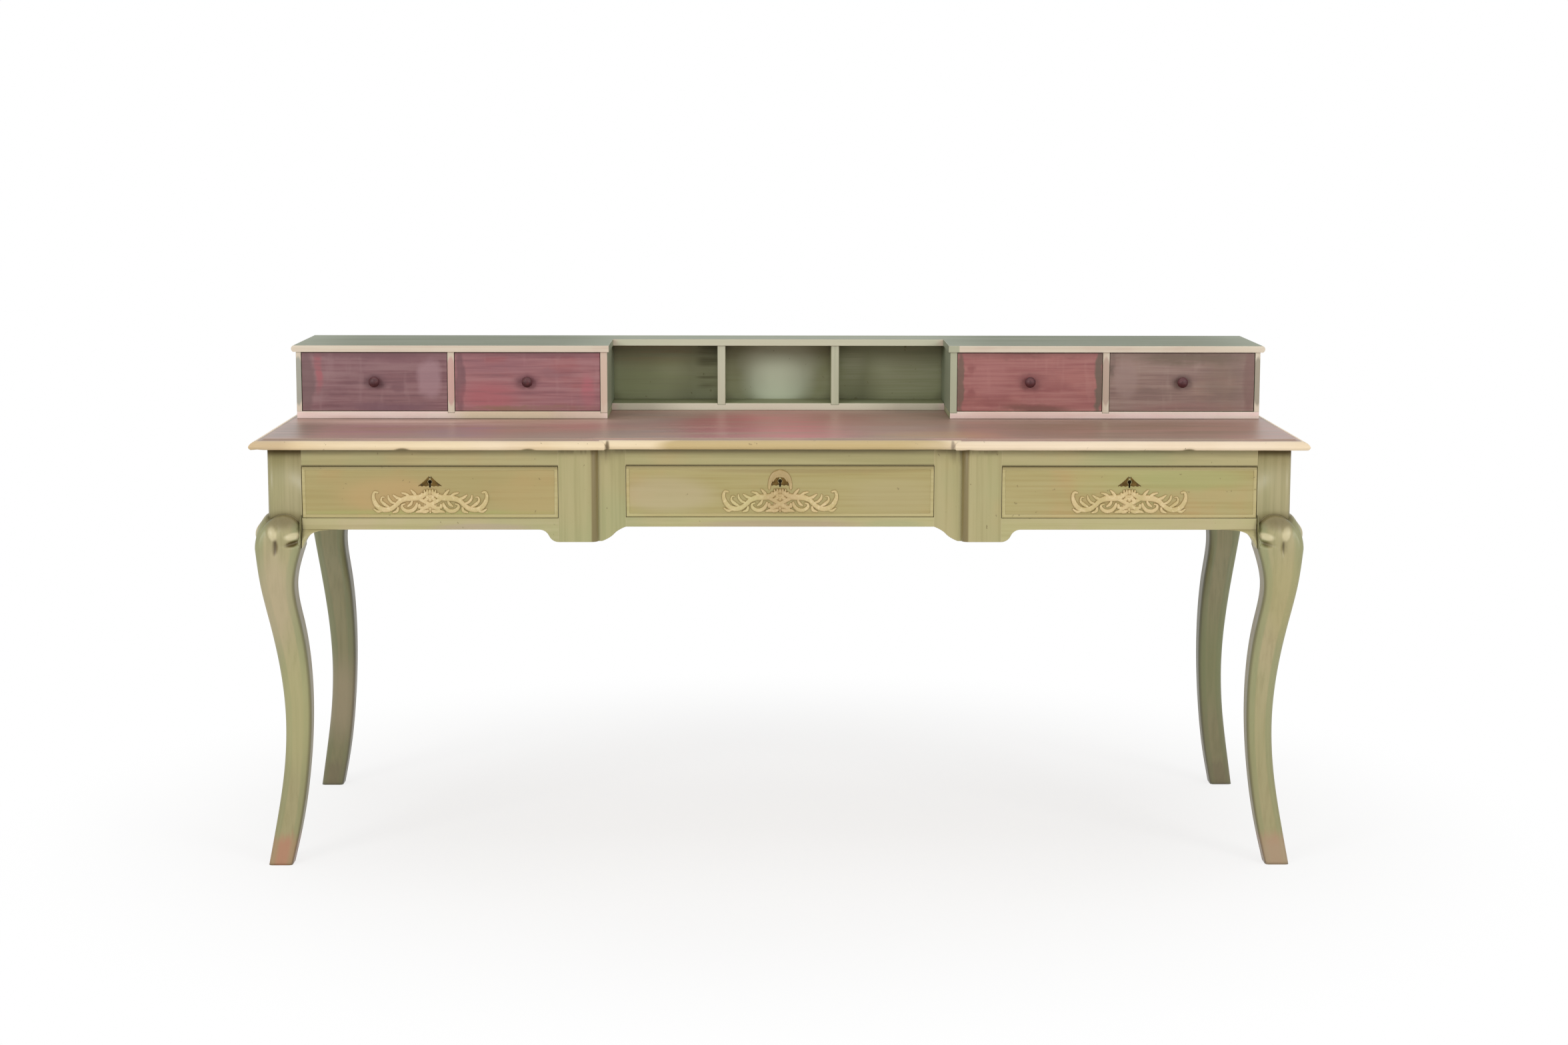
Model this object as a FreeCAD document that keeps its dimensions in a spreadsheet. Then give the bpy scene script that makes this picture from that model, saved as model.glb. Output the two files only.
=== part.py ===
import FreeCAD, Part
import math
import os
import Sketcher

from FreeCAD import Placement, Rotation, Vector

# Bonheur du jour: a breakfront writing desk on cabriole legs, with a low gallery of four small
# drawers and three pigeonholes. Millimetres, +Z up, front towards -Y, origin on the floor at the
# middle of the desk.

doc = FreeCAD.newDocument("bonheur_du_jour")
sheet = doc.addObject("Spreadsheet::Sheet", "Sizes")


# ---------------------------------------------------------------- driving dimensions
DIMENSIONS = {
    # carcass and tabletop
    "carcass_width": 1788,      # over the outer faces of the corner posts
    "carcass_depth": 636,       # the same, front to back
    "top_height": 760,          # floor to writing surface
    "top_thick": 18,
    "top_overhang": 27,         # nosing beyond the carcass
    "moulding_width": 24,       # flat width of the edge moulding
    "moulding_nose": 12.5,      # writing surface down to the nose
    "moulding_chin": 4,         # undercut below the nose
    "nose_radius": 7.5,
    "waist_inset": 12.5,        # where the swell turns into the hollow, in from the nose
    "waist_drop": 3,
    "swell_radius": 15,
    "hollow_radius": 16,
    "quirk_width": 1.5,
    "quirk_drop": 1,
    "jog_inset": 16,            # jog of the nosing in from the recess below it
    "break_recess": 13,         # centre section behind the side sections
    "top_rail_height": 31,
    "drawer_opening": 91,       # height between the rails
    "lower_rail_height": 20.5,
    "centre_lift": 3.5,         # centre lower rail above the side ones
    "rail_depth": 24,
    "apron_thick": 22,
    "post_size": 60,
    "post_round": 11,
    "tenon_length": 20,
    "tenon_thick": 10,
    "tenon_shoulder": 5,        # rail edge to tenon edge
    # junction blocks
    "centre_half": 318,         # half width of the recessed centre section
    "block_width": 69,
    "block_depth": 48,
    "block_drop": 22,           # below the side rails
    "block_round": 13,
    "block_inner": 48,          # width that shows in the centre section
    "ear_reach": 34,            # ogee ear beyond the block
    "ear_inset": 6,             # foot of the inner ogee in from the recess
    "partition_thick": 20,
    # cabriole leg: faces measured outwards from the carcass corner, heights as parts of the knee's
    "knee_drop": 32.5,          # rail edge down to the fullest part of the knee
    "shoulder_rise": 54,        # fullest part up to the ledge on the post
    "leg_round": 11,
    "ledge_set": 0.5,           # top of the shoulder behind the faces of the post
    "haunch_set": 1,            # the same behind its inner faces
    "foot_out": 11.5,
    "foot_in": 30.5,
    "pastern_at": 0.106,
    "pastern_out": 1,
    "pastern_in": 43.5,
    "ankle_at": 0.265,
    "ankle_out": -12.6,
    "ankle_in": 57,
    "shin_at": 0.45,
    "shin_out": -18.4,
    "shin_in": 64.3,
    "calf_at": 0.61,
    "calf_out": -11.8,
    "calf_in": 63,
    "thigh_at": 0.76,
    "thigh_out": 2,
    "thigh_in": 53.5,
    "haunch_at": 0.89,
    "haunch_out": 15.5,
    "haunch_in": 45,
    "knee_out": 22,
    "bracket_reach": 62,
    "bracket_height": 32,
    "bracket_depth": 22,
    # inside the carcass
    "runner_height": 20,
    "runner_bearing": 20,       # under the drawer side
    "guide_height": 25,
    "glue_block": 18,           # legs of its triangular section
    "glue_block_length": 60,
    "glue_block_inset": 110,    # middle of a block in from the end of a section
    # frieze drawers
    "drawer_gap": 0.8,          # round the front
    "run_gap": 0.3,             # side above its runner
    "side_gap": 0.8,            # side beside its guide
    "front_thick": 20,
    "front_lap": 8,             # front wood left before the sides
    "dovetail_pin": 10,         # front wood between the roots of two tails
    "drawer_short": 74,         # back of the drawer to the back apron
    "side_thick": 10,
    "side_drop": 12.7,          # top of the side below the kicker
    "bottom_thick": 6,
    "bottom_rise": 8,
    "groove_depth": 5,
    "back_drop": 6,
    "bead_width": 6,
    "bead_proud": 1.6,
    "mount_half": 101.5,
    "mount_half_height": 21,
    "mount_thick": 4,
    "mount_rise": 1.2,          # above the bead
    "keyhole_drop": 26.5,       # below the top edge of the front
    "keyhole_round": 7,
    "keyhole_slot": 3,
    "keyhole_tail": 7,
    "lock_width": 50,
    "lock_height": 38,
    "lock_thick": 9,
    "lock_plate": 2,
    "bolt_width": 18,
    "bolt_thick": 5,
    "bolt_length": 17,
    "bolt_gap": 0.1,
    "bolt_travel": 8,
    "bolt_rest": 0.5,           # top of the bolt below the edge of the drawer
    "strike_gap": 0.8,
    # gallery
    "gallery_depth": 257,       # side sections, front to back
    "gallery_recess": 158,      # centre section behind the side sections
    "gallery_inset": 44,        # back panel in from the carcass back
    "gallery_base_thick": 13.5,
    "gallery_opening": 110.5,
    "gallery_top_thick": 12,
    "gallery_top_over": 3,      # beyond the front edges
    "gallery_top_side": 10,     # beyond the ends
    "gallery_top_round": 6.5,   # rounded-over ends
    "gallery_end_thick": 9.5,
    "gallery_inner_thick": 13,
    "gallery_divider_thick": 12.5,
    "pigeonhole_divider_thick": 15,
    "gallery_back_thick": 8,
    "housing": 3,               # dividers let into base and top
    "small_gap": 0.6,
    "small_set_in": 2,
    "small_front_thick": 12,
    "small_front_lap": 5,
    "small_side_thick": 7,
    "small_side_drop": 18.2,    # top of the side below the gallery top
    "small_short": 3,           # back of the drawer to the back panel
    "small_bottom_thick": 4,
    "small_bottom_rise": 5,
    "small_groove": 3,
    "knob_round": 17,
    "knob_stem": 7,
    "knob_neck_out": 5,         # distances from the drawer front
    "knob_rim_out": 11,
    "knob_crown_out": 15.5,
    "knob_reach": 17,
    "knob_crown": 10,
}


class Size:
    """A length kept both as a number and as the expression that gives it in the document."""

    def __init__(self, text, value):
        self.text = text
        self.value = value

    def joined(self, sign, other, value, swapped=False):
        first, second = (other, self) if swapped else (self, other)
        return Size("(%s %s %s)" % (first.text, sign, second.text), value)

    def __add__(self, other):
        other = as_size(other)
        return self.joined("+", other, self.value + other.value)

    def __sub__(self, other):
        other = as_size(other)
        return self.joined("-", other, self.value - other.value)

    def __rsub__(self, other):
        other = as_size(other)
        return self.joined("-", other, other.value - self.value, swapped=True)

    def __mul__(self, other):
        other = as_size(other)
        return self.joined("*", other, self.value * other.value)

    def __truediv__(self, other):
        other = as_size(other)
        return self.joined("/", other, self.value / other.value)

    def __neg__(self):
        return self * -1

    __radd__ = __add__
    __rmul__ = __mul__


def as_size(number):
    return number if isinstance(number, Size) else Size("%r" % float(number), float(number))


class SheetSizes:
    """Gives every cell of the sheet as a Size under its alias."""

    def __init__(self, dimensions):
        for row, (alias, value) in enumerate(dimensions.items(), start=1):
            sheet.set("A%d" % row, alias.replace("_", " "))
            sheet.set("B%d" % row, "%r" % value)
            sheet.setAlias("B%d" % row, alias)
            setattr(self, alias, Size("Sizes.%s" % alias, float(value)))


s = SheetSizes(DIMENSIONS)
doc.recompute()

# levels and planes that several pieces share
ZERO = as_size(0)
X_SIDE = s.carcass_width / 2
Y_FRONT = -s.carcass_depth / 2
Y_BACK = s.carcass_depth / 2
Y_CENTRE = Y_FRONT + s.break_recess
X_POST = X_SIDE - s.post_size
X_BLOCK = s.centre_half + s.block_width
X_CENTRE = s.centre_half - s.block_inner
Z_UNDER = s.top_height - s.top_thick
Z_OPEN_TOP = Z_UNDER - s.top_rail_height
Z_OPEN = Z_OPEN_TOP - s.drawer_opening
Z_APRON = Z_OPEN - s.lower_rail_height
Y_PARTITION_END = Y_BACK - s.apron_thick


# ---------------------------------------------------------------- sketch and body helpers
def bind(obj, prop, size):
    obj.setExpression(prop, as_size(size).text)


def new_body(label):
    body = doc.addObject("PartDesign::Body", label)
    body.Label = label
    return body


def place(obj, x=0, y=0, z=0, turn=None):
    if turn is not None:
        obj.Placement = Placement(Vector(), turn)
    for axis, size in zip("xyz", (x, y, z)):
        bind(obj, "Placement.Base.%s" % axis, size)


def origin_plane(body, role):
    return next(f for f in body.Origin.OriginFeatures if f.Role == role)


def new_sketch(body, role, lift=0):
    sketch = body.newObject("Sketcher::SketchObject", "Outline")
    sketch.AttachmentSupport = (origin_plane(body, role), [""])
    sketch.MapMode = "FlatFace"
    bind(sketch, "AttachmentOffset.Base.z", lift)
    return sketch


def hold(sketch, kind, *target, size):
    index = sketch.addConstraint(Sketcher.Constraint(kind, *target, as_size(size).value))
    sketch.setExpression("Constraints[%d]" % index, as_size(size).text)


def arc_between(start, end, radius, left):
    """The arc from start to end whose centre lies to the left, or right, of the chord."""
    chord = end - start
    half = chord.Length / 2
    reach = math.sqrt(max(radius * radius - half * half, 0))
    normal = Vector(-chord.y, chord.x, 0).normalize()
    centre = (start + end) / 2 + normal * (reach if left else -reach)
    first, last = (start, end) if left else (end, start)
    angles = [math.atan2(p.y - centre.y, p.x - centre.x) for p in (first, last)]
    if angles[1] < angles[0]:
        angles[1] += 2 * math.pi
    return Part.ArcOfCircle(Part.Circle(centre, Vector(0, 0, 1), radius), *angles)


def draw(sketch, corners, arcs=None):
    """Closes an outline through the corners. arcs names a radius and a side for the stretch that
    starts at a corner. Every corner is held to the origin by two bound distances."""
    arcs = arcs or {}
    points = [Vector(as_size(x).value, as_size(y).value, 0) for x, y in corners]
    ends = []
    for index, start in enumerate(points):
        end = points[(index + 1) % len(points)]
        if index in arcs:
            radius, left = arcs[index]
            geometry = sketch.addGeometry(arc_between(start, end, as_size(radius).value, left))
            hold(sketch, "Radius", geometry, size=radius)
            ends.append((geometry, 1, 2) if left else (geometry, 2, 1))
        else:
            ends.append((sketch.addGeometry(Part.LineSegment(start, end)), 1, 2))
    for index, (geometry, first, _) in enumerate(ends):
        before, _, last = ends[index - 1]
        sketch.addConstraint(Sketcher.Constraint("Coincident", before, last, geometry, first))
        hold(sketch, "DistanceX", -1, 1, geometry, first, size=corners[index][0])
        hold(sketch, "DistanceY", -1, 1, geometry, first, size=corners[index][1])
    return sketch


def circle(sketch, x, y, radius):
    centre = Vector(as_size(x).value, as_size(y).value, 0)
    geometry = sketch.addGeometry(Part.Circle(centre, Vector(0, 0, 1), as_size(radius).value))
    hold(sketch, "DistanceX", -1, 1, geometry, 3, size=x)
    hold(sketch, "DistanceY", -1, 1, geometry, 3, size=y)
    hold(sketch, "Radius", geometry, size=radius)
    return sketch


def rectangle(x0, x1, y0, y1):
    return [(x0, y0), (x1, y0), (x1, y1), (x0, y1)]


def pad(body, sketch, length):
    feature = body.newObject("PartDesign::Pad", "Pad")
    feature.Profile = sketch
    bind(feature, "Length", length)
    sketch.Visibility = False
    return feature


def pocket(body, sketch, length):
    feature = body.newObject("PartDesign::Pocket", "Pocket")
    feature.Profile = sketch
    bind(feature, "Length", length)
    sketch.Visibility = False
    return feature


def pad_up(body, corners, z0, z1, arcs=None):
    return pad(body, draw(new_sketch(body, "XY_Plane", z0), corners, arcs), z1 - z0)


def cut_down(body, corners, z0, z1, arcs=None):
    return pocket(body, draw(new_sketch(body, "XY_Plane", z1), corners, arcs), z1 - z0)


def pad_forward(body, corners, y0, y1, arcs=None):
    """Pads an outline drawn in X and Z from the plane y1 forwards to y0."""
    return pad(body, draw(new_sketch(body, "XZ_Plane", -y1), corners, arcs), y1 - y0)


def cut_back(body, corners, y0, y1, arcs=None):
    """Cuts an outline drawn in X and Z from the plane y0 backwards to y1."""
    return pocket(body, draw(new_sketch(body, "XZ_Plane", -y0), corners, arcs), y1 - y0)


def board(label, x, y, z):
    """A plain board between two planes along each axis."""
    body = new_body(label)
    pad_up(body, rectangle(*x, *y), *z)
    return body


def add_box(body, x, y, z):
    return pad_up(body, rectangle(*x, *y), *z)


def cut_box(body, x, y, z):
    return cut_down(body, rectangle(*x, *y), *z)


def span(side, near, far):
    """Two X planes on one side of the desk, in rising order."""
    return (near, far) if side > 0 else (-far, -near)


def group(label, members):
    compound = doc.addObject("Part::Compound", label)
    compound.Label = label
    compound.Links = members
    nodes.append(compound)
    return compound


def node(obj):
    nodes.append(obj)
    return obj


nodes = []
SIDES = {"left": -1, "right": 1}


# ---------------------------------------------------------------- cabriole legs
LEG_LEVELS = 14         # sections of the loft from the floor to the knee
SHOULDER_LEVELS = 4     # and from the knee to the ledge
CORNER_FACETS = 4       # flats that soften each corner of a section


def softened_square(low, high, radius, height):
    """A level wire, square between low and high on both axes, each corner taken off in flats that
    follow a quarter circle."""
    points = []
    near, far = low + radius, high - radius
    for x, y, turn in ((far, far, 0), (near, far, 90), (near, near, 180), (far, near, 270)):
        for flat in range(CORNER_FACETS + 1):
            angle = math.radians(turn + 90 * flat / CORNER_FACETS)
            points.append(Vector(x + radius * math.cos(angle), y + radius * math.sin(angle),
                                 height))
    return Part.makePolygon(points + points[:1])


def sawn_line(points):
    """A fair curve through a few heights, given as a function from height to offset."""
    curve = Part.BSplineCurve()
    curve.interpolate(Points=[Vector(offset, 0, height) for height, offset in points],
                      Parameters=[height for height, offset in points])
    return lambda height: curve.value(height).x


def cabriole_leg(label):
    """Leg and post in one piece, its own corner of the carcass at the origin, outwards +X and +Y.
    Both faces are sawn to the same two lines, so each level is a square that slides along the
    diagonal. Above the knee a quarter ellipse carries the outer faces back to the post."""
    knee = (Z_APRON - s.knee_drop).value
    rise = s.shoulder_rise.value
    haunch = (s.haunch_set - s.post_size).value
    outer_points = [(0, s.foot_out.value)]
    inner_points = [(0, -s.foot_in.value)]
    for part in ("pastern", "ankle", "shin", "calf", "thigh", "haunch"):
        at, outer, inner = (getattr(s, "%s_%s" % (part, key)).value for key in ("at", "out", "in"))
        outer_points.append((at * knee, outer))
        inner_points.append((at * knee, -inner))
    outer_line = sawn_line(outer_points + [(knee, s.knee_out.value)])
    inner_line = sawn_line(inner_points + [(knee, haunch)])
    levels = []
    for step in range(LEG_LEVELS):
        height = knee * step / LEG_LEVELS
        levels.append(softened_square(inner_line(height), outer_line(height),
                                      s.leg_round.value, height))
    for step in range(SHOULDER_LEVELS + 1):
        angle = math.pi / 2 * step / SHOULDER_LEVELS
        outer = (s.knee_out + s.ledge_set).value * math.cos(angle) - s.ledge_set.value
        levels.append(softened_square(haunch, outer, s.leg_round.value,
                                      knee + rise * math.sin(angle)))
    shaft = doc.addObject("Part::Feature", label + "_shaft")
    shaft.Shape = Part.makeLoft(levels, True, True)

    post = new_body(label + "_post")
    size = s.post_size
    bend = s.post_round
    outline = [(-size, -size), (0, -size), (0, -bend), (-bend, 0), (-size, 0)]
    pad_up(post, outline, Z_APRON - s.bracket_height, Z_UNDER, arcs={2: (bend, True)})
    whole = doc.addObject("Part::Fuse", label + "_blank")
    whole.Base = shaft
    whole.Tool = post
    return whole


def mortise(label, x, y, z):
    tool = doc.addObject("Part::Box", label)
    for prop, (low, high) in zip(("Length", "Width", "Height"), (x, y, z)):
        bind(tool, prop, high - low)
    place(tool, x[0], y[0], z[0])
    return tool


def tenon_heights(z0, z1):
    return (z0 + s.tenon_shoulder, z1 - s.tenon_shoulder)


Z_TOP_RAIL = (Z_OPEN_TOP, Z_UNDER)
Z_LOWER_RAIL = (Z_APRON, Z_OPEN)


def front_tenon_y(face):
    middle = face + s.rail_depth / 2
    return (middle - s.tenon_thick / 2, middle + s.tenon_thick / 2)


BACK_TENON_Y = tuple(Y_BACK - s.apron_thick / 2 + s.tenon_thick / 2 * way for way in (-1, 1))


def side_tenon_x(side):
    middle = X_SIDE - s.apron_thick / 2
    return span(side, middle - s.tenon_thick / 2, middle + s.tenon_thick / 2)


CORNER_TURN = {("left", "front"): 180, ("right", "front"): 270,
               ("right", "rear"): 0, ("left", "rear"): 90}

for (hand, end), turn in CORNER_TURN.items():
    side = SIDES[hand]
    label = "leg_%s_%s" % (end, hand)
    blank = cabriole_leg(label)
    place(blank, X_SIDE * side, Y_BACK if end == "rear" else Y_FRONT, 0,
          Rotation(Vector(0, 0, 1), turn))
    along_x = span(side, X_POST, X_POST + s.tenon_length)
    post_inner = Y_BACK - s.post_size
    along_y = (post_inner, post_inner + s.tenon_length)
    if end == "front":
        along_y = (-along_y[1], -along_y[0])
        sockets = [mortise(label + "_top_mortise", along_x, front_tenon_y(Y_FRONT),
                           tenon_heights(*Z_TOP_RAIL)),
                   mortise(label + "_lower_mortise", along_x, front_tenon_y(Y_FRONT),
                           tenon_heights(*Z_LOWER_RAIL))]
    else:
        sockets = [mortise(label + "_back_mortise", along_x, BACK_TENON_Y,
                           tenon_heights(Z_APRON, Z_UNDER))]
    sockets.append(mortise(label + "_side_mortise", side_tenon_x(side), along_y,
                           tenon_heights(Z_APRON, Z_UNDER)))
    tools = doc.addObject("Part::MultiFuse", label + "_mortises")
    tools.Shapes = sockets
    leg = doc.addObject("Part::Cut", label)
    leg.Label = label
    leg.Base = blank
    leg.Tool = tools
    node(leg)


# ---------------------------------------------------------------- knee brackets
def bracket_radius():
    reach, drop = s.bracket_reach, s.bracket_height
    return (reach * reach + drop * drop) / (drop * 2)


brackets = []
low = Z_APRON - s.bracket_height
for (hand, end) in CORNER_TURN:
    side = SIDES[hand]
    left = side > 0
    lengthwise = new_body("bracket_%s_%s_lengthwise" % (end, hand))
    near = X_POST * side
    far = (X_POST - s.bracket_reach) * side
    depth = (Y_FRONT, Y_FRONT + s.bracket_depth)
    if end == "rear":
        depth = (Y_BACK - s.bracket_depth, Y_BACK)
    pad_forward(lengthwise, [(far, Z_APRON), (near, low), (near, Z_APRON)], *depth,
                arcs={0: (bracket_radius(), not left)})
    crosswise = new_body("bracket_%s_%s_crosswise" % (end, hand))
    way = 1 if end == "rear" else -1
    near = (Y_BACK - s.post_size) * way
    far = (Y_BACK - s.post_size - s.bracket_reach) * way
    sketch = new_sketch(crosswise, "YZ_Plane", span(side, X_SIDE - s.bracket_depth, X_SIDE)[0])
    draw(sketch, [(far, Z_APRON), (near, low), (near, Z_APRON)],
         arcs={0: (bracket_radius(), way < 0)})
    pad(crosswise, sketch, s.bracket_depth)
    brackets += [lengthwise, crosswise]
group("knee_brackets", brackets)


# ---------------------------------------------------------------- rails and junction blocks
def side_section(hand):
    """X planes of one side section between the post and the junction block."""
    return span(SIDES[hand], X_BLOCK, X_POST)


def add_rail_tenons(body, x, face, z):
    heights = tenon_heights(*z)
    depth = front_tenon_y(face)
    add_box(body, (x[0] - s.tenon_length, x[0]), depth, heights)
    add_box(body, (x[1], x[1] + s.tenon_length), depth, heights)


def cut_strike(rail, x_middle, face):
    """The mortise that a drawer's lock bolt rises into."""
    half = s.bolt_width / 2 + s.strike_gap
    bolt_front = face + s.front_thick - s.lock_thick + s.lock_plate + s.bolt_gap
    depth = (bolt_front - s.strike_gap, bolt_front + s.bolt_thick + s.strike_gap)
    cut_box(rail, (x_middle - half, x_middle + half), depth,
            (Z_OPEN_TOP, Z_OPEN_TOP + s.bolt_travel + s.strike_gap))


def top_rail(label, x, face):
    rail = board(label, x, (face, face + s.rail_depth), Z_TOP_RAIL)
    add_rail_tenons(rail, x, face, Z_TOP_RAIL)
    cut_strike(rail, (x[0] + x[1]) / 2, face)
    return node(rail)


def ogee(x0, z0, x1, z1):
    """The middle of a line, where the two arcs of an ogee meet, and their radius."""
    run, rise = x1 - x0, z1 - z0
    radius = (run * run + rise * rise) / (rise * 4)
    return ((x0 + x1) / 2, (z0 + z1) / 2), radius


Z_DROP = Z_APRON - s.block_drop
for hand, side in SIDES.items():
    x = side_section(hand)
    top_rail("top_rail_%s" % hand, x, Y_FRONT)
    rail = new_body("lower_rail_%s" % hand)
    block_end = X_BLOCK * side
    ear_end = (X_BLOCK + s.ear_reach) * side
    post_end = X_POST * side
    middle, radius = ogee(X_BLOCK, Z_DROP, X_BLOCK + s.ear_reach, Z_APRON)
    middle = (middle[0] * side, middle[1])
    left = side > 0
    pad_forward(rail,
                [(block_end, Z_OPEN), (block_end, Z_DROP), middle, (ear_end, Z_APRON),
                 (post_end, Z_APRON), (post_end, Z_OPEN)],
                Y_FRONT, Y_FRONT + s.rail_depth,
                arcs={1: (radius, left), 2: (radius, not left)})
    add_rail_tenons(rail, x, Y_FRONT, Z_LOWER_RAIL)
    node(rail)

centre_x = (-X_CENTRE, X_CENTRE)
top_rail("top_rail_centre", centre_x, Y_CENTRE)
Z_CENTRE_RAIL = (Z_APRON + s.centre_lift, Z_OPEN)
centre_rail = board("lower_rail_centre", centre_x, (Y_CENTRE, Y_CENTRE + s.rail_depth),
                    Z_CENTRE_RAIL)
add_rail_tenons(centre_rail, centre_x, Y_CENTRE, Z_CENTRE_RAIL)
node(centre_rail)

for hand, side in SIDES.items():
    block = new_body("junction_block_%s" % hand)
    outer = X_BLOCK * side
    shoulder = (s.centre_half + s.block_round) * side
    corner = s.centre_half * side
    inner = X_CENTRE * side
    back = Y_FRONT + s.block_depth
    left = side < 0
    plan = [(outer, Y_FRONT), (shoulder, Y_FRONT), (corner, Y_CENTRE), (inner, Y_CENTRE),
            (inner, back), (outer, back)]
    pad_up(block, plan, Z_DROP, Z_UNDER, arcs={1: (s.break_recess, left)})
    ear_foot = (s.centre_half - s.ear_inset) * side
    z_centre = Z_APRON + s.centre_lift
    middle, radius = ogee(ZERO, Z_DROP, s.centre_half - s.ear_inset - X_CENTRE,
                          z_centre)
    middle = (ear_foot - middle[0] * side, middle[1])
    cut_back(block, [(ear_foot, Z_DROP), middle, (inner, z_centre), (inner, Z_DROP)],
             Y_FRONT, back, arcs={0: (radius, left), 1: (radius, not left)})
    mortises = (((X_BLOCK - s.tenon_length, X_BLOCK), Y_FRONT, Z_LOWER_RAIL),
                ((X_CENTRE, X_CENTRE + s.tenon_length), Y_CENTRE, Z_CENTRE_RAIL))
    for tongue, face, lower in mortises:
        for z in (Z_TOP_RAIL, lower):
            cut_box(block, span(side, *tongue), front_tenon_y(face), tenon_heights(*z))
    node(block)


# ---------------------------------------------------------------- aprons and partitions
for hand, side in SIDES.items():
    y = (Y_FRONT + s.post_size, Y_BACK - s.post_size)
    apron = board("side_apron_%s" % hand, span(side, X_SIDE - s.apron_thick, X_SIDE), y,
                  (Z_APRON, Z_UNDER))
    add_box(apron, side_tenon_x(side), (y[0] - s.tenon_length, y[1] + s.tenon_length),
            tenon_heights(Z_APRON, Z_UNDER))
    node(apron)

back_apron = board("back_apron", (-X_POST, X_POST), (Y_BACK - s.apron_thick, Y_BACK),
                   (Z_APRON, Z_UNDER))
add_box(back_apron, (-X_POST - s.tenon_length, X_POST + s.tenon_length), BACK_TENON_Y,
        tenon_heights(Z_APRON, Z_UNDER))
node(back_apron)

X_PARTITION = (X_CENTRE + X_BLOCK) / 2
PARTITION = (X_PARTITION - s.partition_thick / 2, X_PARTITION + s.partition_thick / 2)
for hand, side in SIDES.items():
    node(board("partition_%s" % hand, span(side, *PARTITION),
               (Y_FRONT + s.block_depth, Y_PARTITION_END), (Z_APRON, Z_UNDER)))


# ---------------------------------------------------------------- runners, kickers, glue blocks
def runner_pair(side, edge, wall, wall_front, wall_back, rail_back, inwards):
    """A runner with its guide, and the kicker above. edge is the side of the drawer opening, wall
    the face that carries them, inwards the way from the wall to the drawer."""
    def across(near, far):
        low, high = (near, far) if inwards > 0 else (far, near)
        return (low, high) if side > 0 else (-high, -low)

    z = (Z_OPEN - s.runner_height, Z_OPEN)
    runner = board("runner", across(edge, edge + s.runner_bearing * inwards),
                   (rail_back, Y_PARTITION_END), z)
    add_box(runner, across(wall, edge), (wall_front, wall_back), (z[0], z[1] + s.guide_height))
    kicker = board("kicker", across(wall, edge + s.runner_bearing * inwards),
                   (wall_front, wall_back), (Z_OPEN_TOP, Z_UNDER))
    return runner, kicker


runners = []
kickers = []
post_ends = (Y_FRONT + s.post_size, Y_BACK - s.post_size)
block_ends = (Y_FRONT + s.block_depth, Y_PARTITION_END)
for side in SIDES.values():
    fittings = [
        (X_POST, X_SIDE - s.apron_thick, *post_ends, Y_FRONT + s.rail_depth, -1),
        (X_BLOCK, PARTITION[1], *block_ends, Y_FRONT + s.rail_depth, 1),
        (X_CENTRE, PARTITION[0], *block_ends, Y_CENTRE + s.rail_depth, -1),
    ]
    for edge, wall, front, rear, rail_back, inwards in fittings:
        runner, kicker = runner_pair(side, edge, wall, front, rear, rail_back, inwards)
        runners.append(runner)
        kickers.append(kicker)
group("drawer_runners", runners)
group("drawer_kickers", kickers)


def glue_block(x, y, leg):
    """A triangular block rubbed into the corner under the tabletop, its leg running along Y."""
    block = new_body("glue_block")
    sketch = new_sketch(block, "YZ_Plane", x - s.glue_block_length / 2)
    corners = [(y, Z_UNDER), (y, Z_UNDER - s.glue_block), (y + leg, Z_UNDER)]
    pad(block, draw(sketch, corners), s.glue_block_length)
    return block


glue_blocks = []
for (near, far), face in ((side_section("left"), Y_FRONT), (centre_x, Y_CENTRE),
                          (side_section("right"), Y_FRONT)):
    for x in (near + s.glue_block_inset, far - s.glue_block_inset):
        glue_blocks.append(glue_block(x, face + s.rail_depth, s.glue_block))
        glue_blocks.append(glue_block(x, Y_PARTITION_END, -s.glue_block))
group("glue_blocks", glue_blocks)


# ---------------------------------------------------------------- tabletop
def breakfront(half_width, front, back, jog_half, recess):
    """A rectangle in plan whose front steps back in the middle."""
    return [(-half_width, front), (-jog_half, front), (-jog_half, front + recess),
            (jog_half, front + recess), (jog_half, front), (half_width, front),
            (half_width, back), (-half_width, back)]


edge = s.top_overhang - s.moulding_width
TOP_JOG = s.centre_half - s.jog_inset
panel = new_body("tabletop")
pad_up(panel, breakfront(X_SIDE + edge, Y_FRONT - edge, Y_BACK + edge,
                         TOP_JOG + s.moulding_width, s.break_recess),
       Z_UNDER, s.top_height)
node(panel)

# The edge moulding is an ogee that runs all round, mitred at every corner.
nosing = doc.addObject("Sketcher::SketchObject", "nosing_line")
draw(nosing, breakfront(X_SIDE + s.top_overhang, Y_FRONT - s.top_overhang,
                        Y_BACK + s.top_overhang, TOP_JOG, s.break_recess))
bind(nosing, "Placement.Base.z", Z_UNDER)


def moulding_profile():
    """Inwards along -X from the nose, up along +Y from the underside."""
    corners = [(-s.moulding_width, 0), (-s.moulding_chin, 0), (0, s.top_thick - s.moulding_nose),
               (-s.waist_inset, s.top_thick - s.waist_drop),
               (s.quirk_width - s.moulding_width, s.top_thick - s.quirk_drop),
               (-s.moulding_width, s.top_thick)]
    return corners, {1: (s.nose_radius, True), 2: (s.swell_radius, True),
                     3: (s.hollow_radius, False)}


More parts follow.
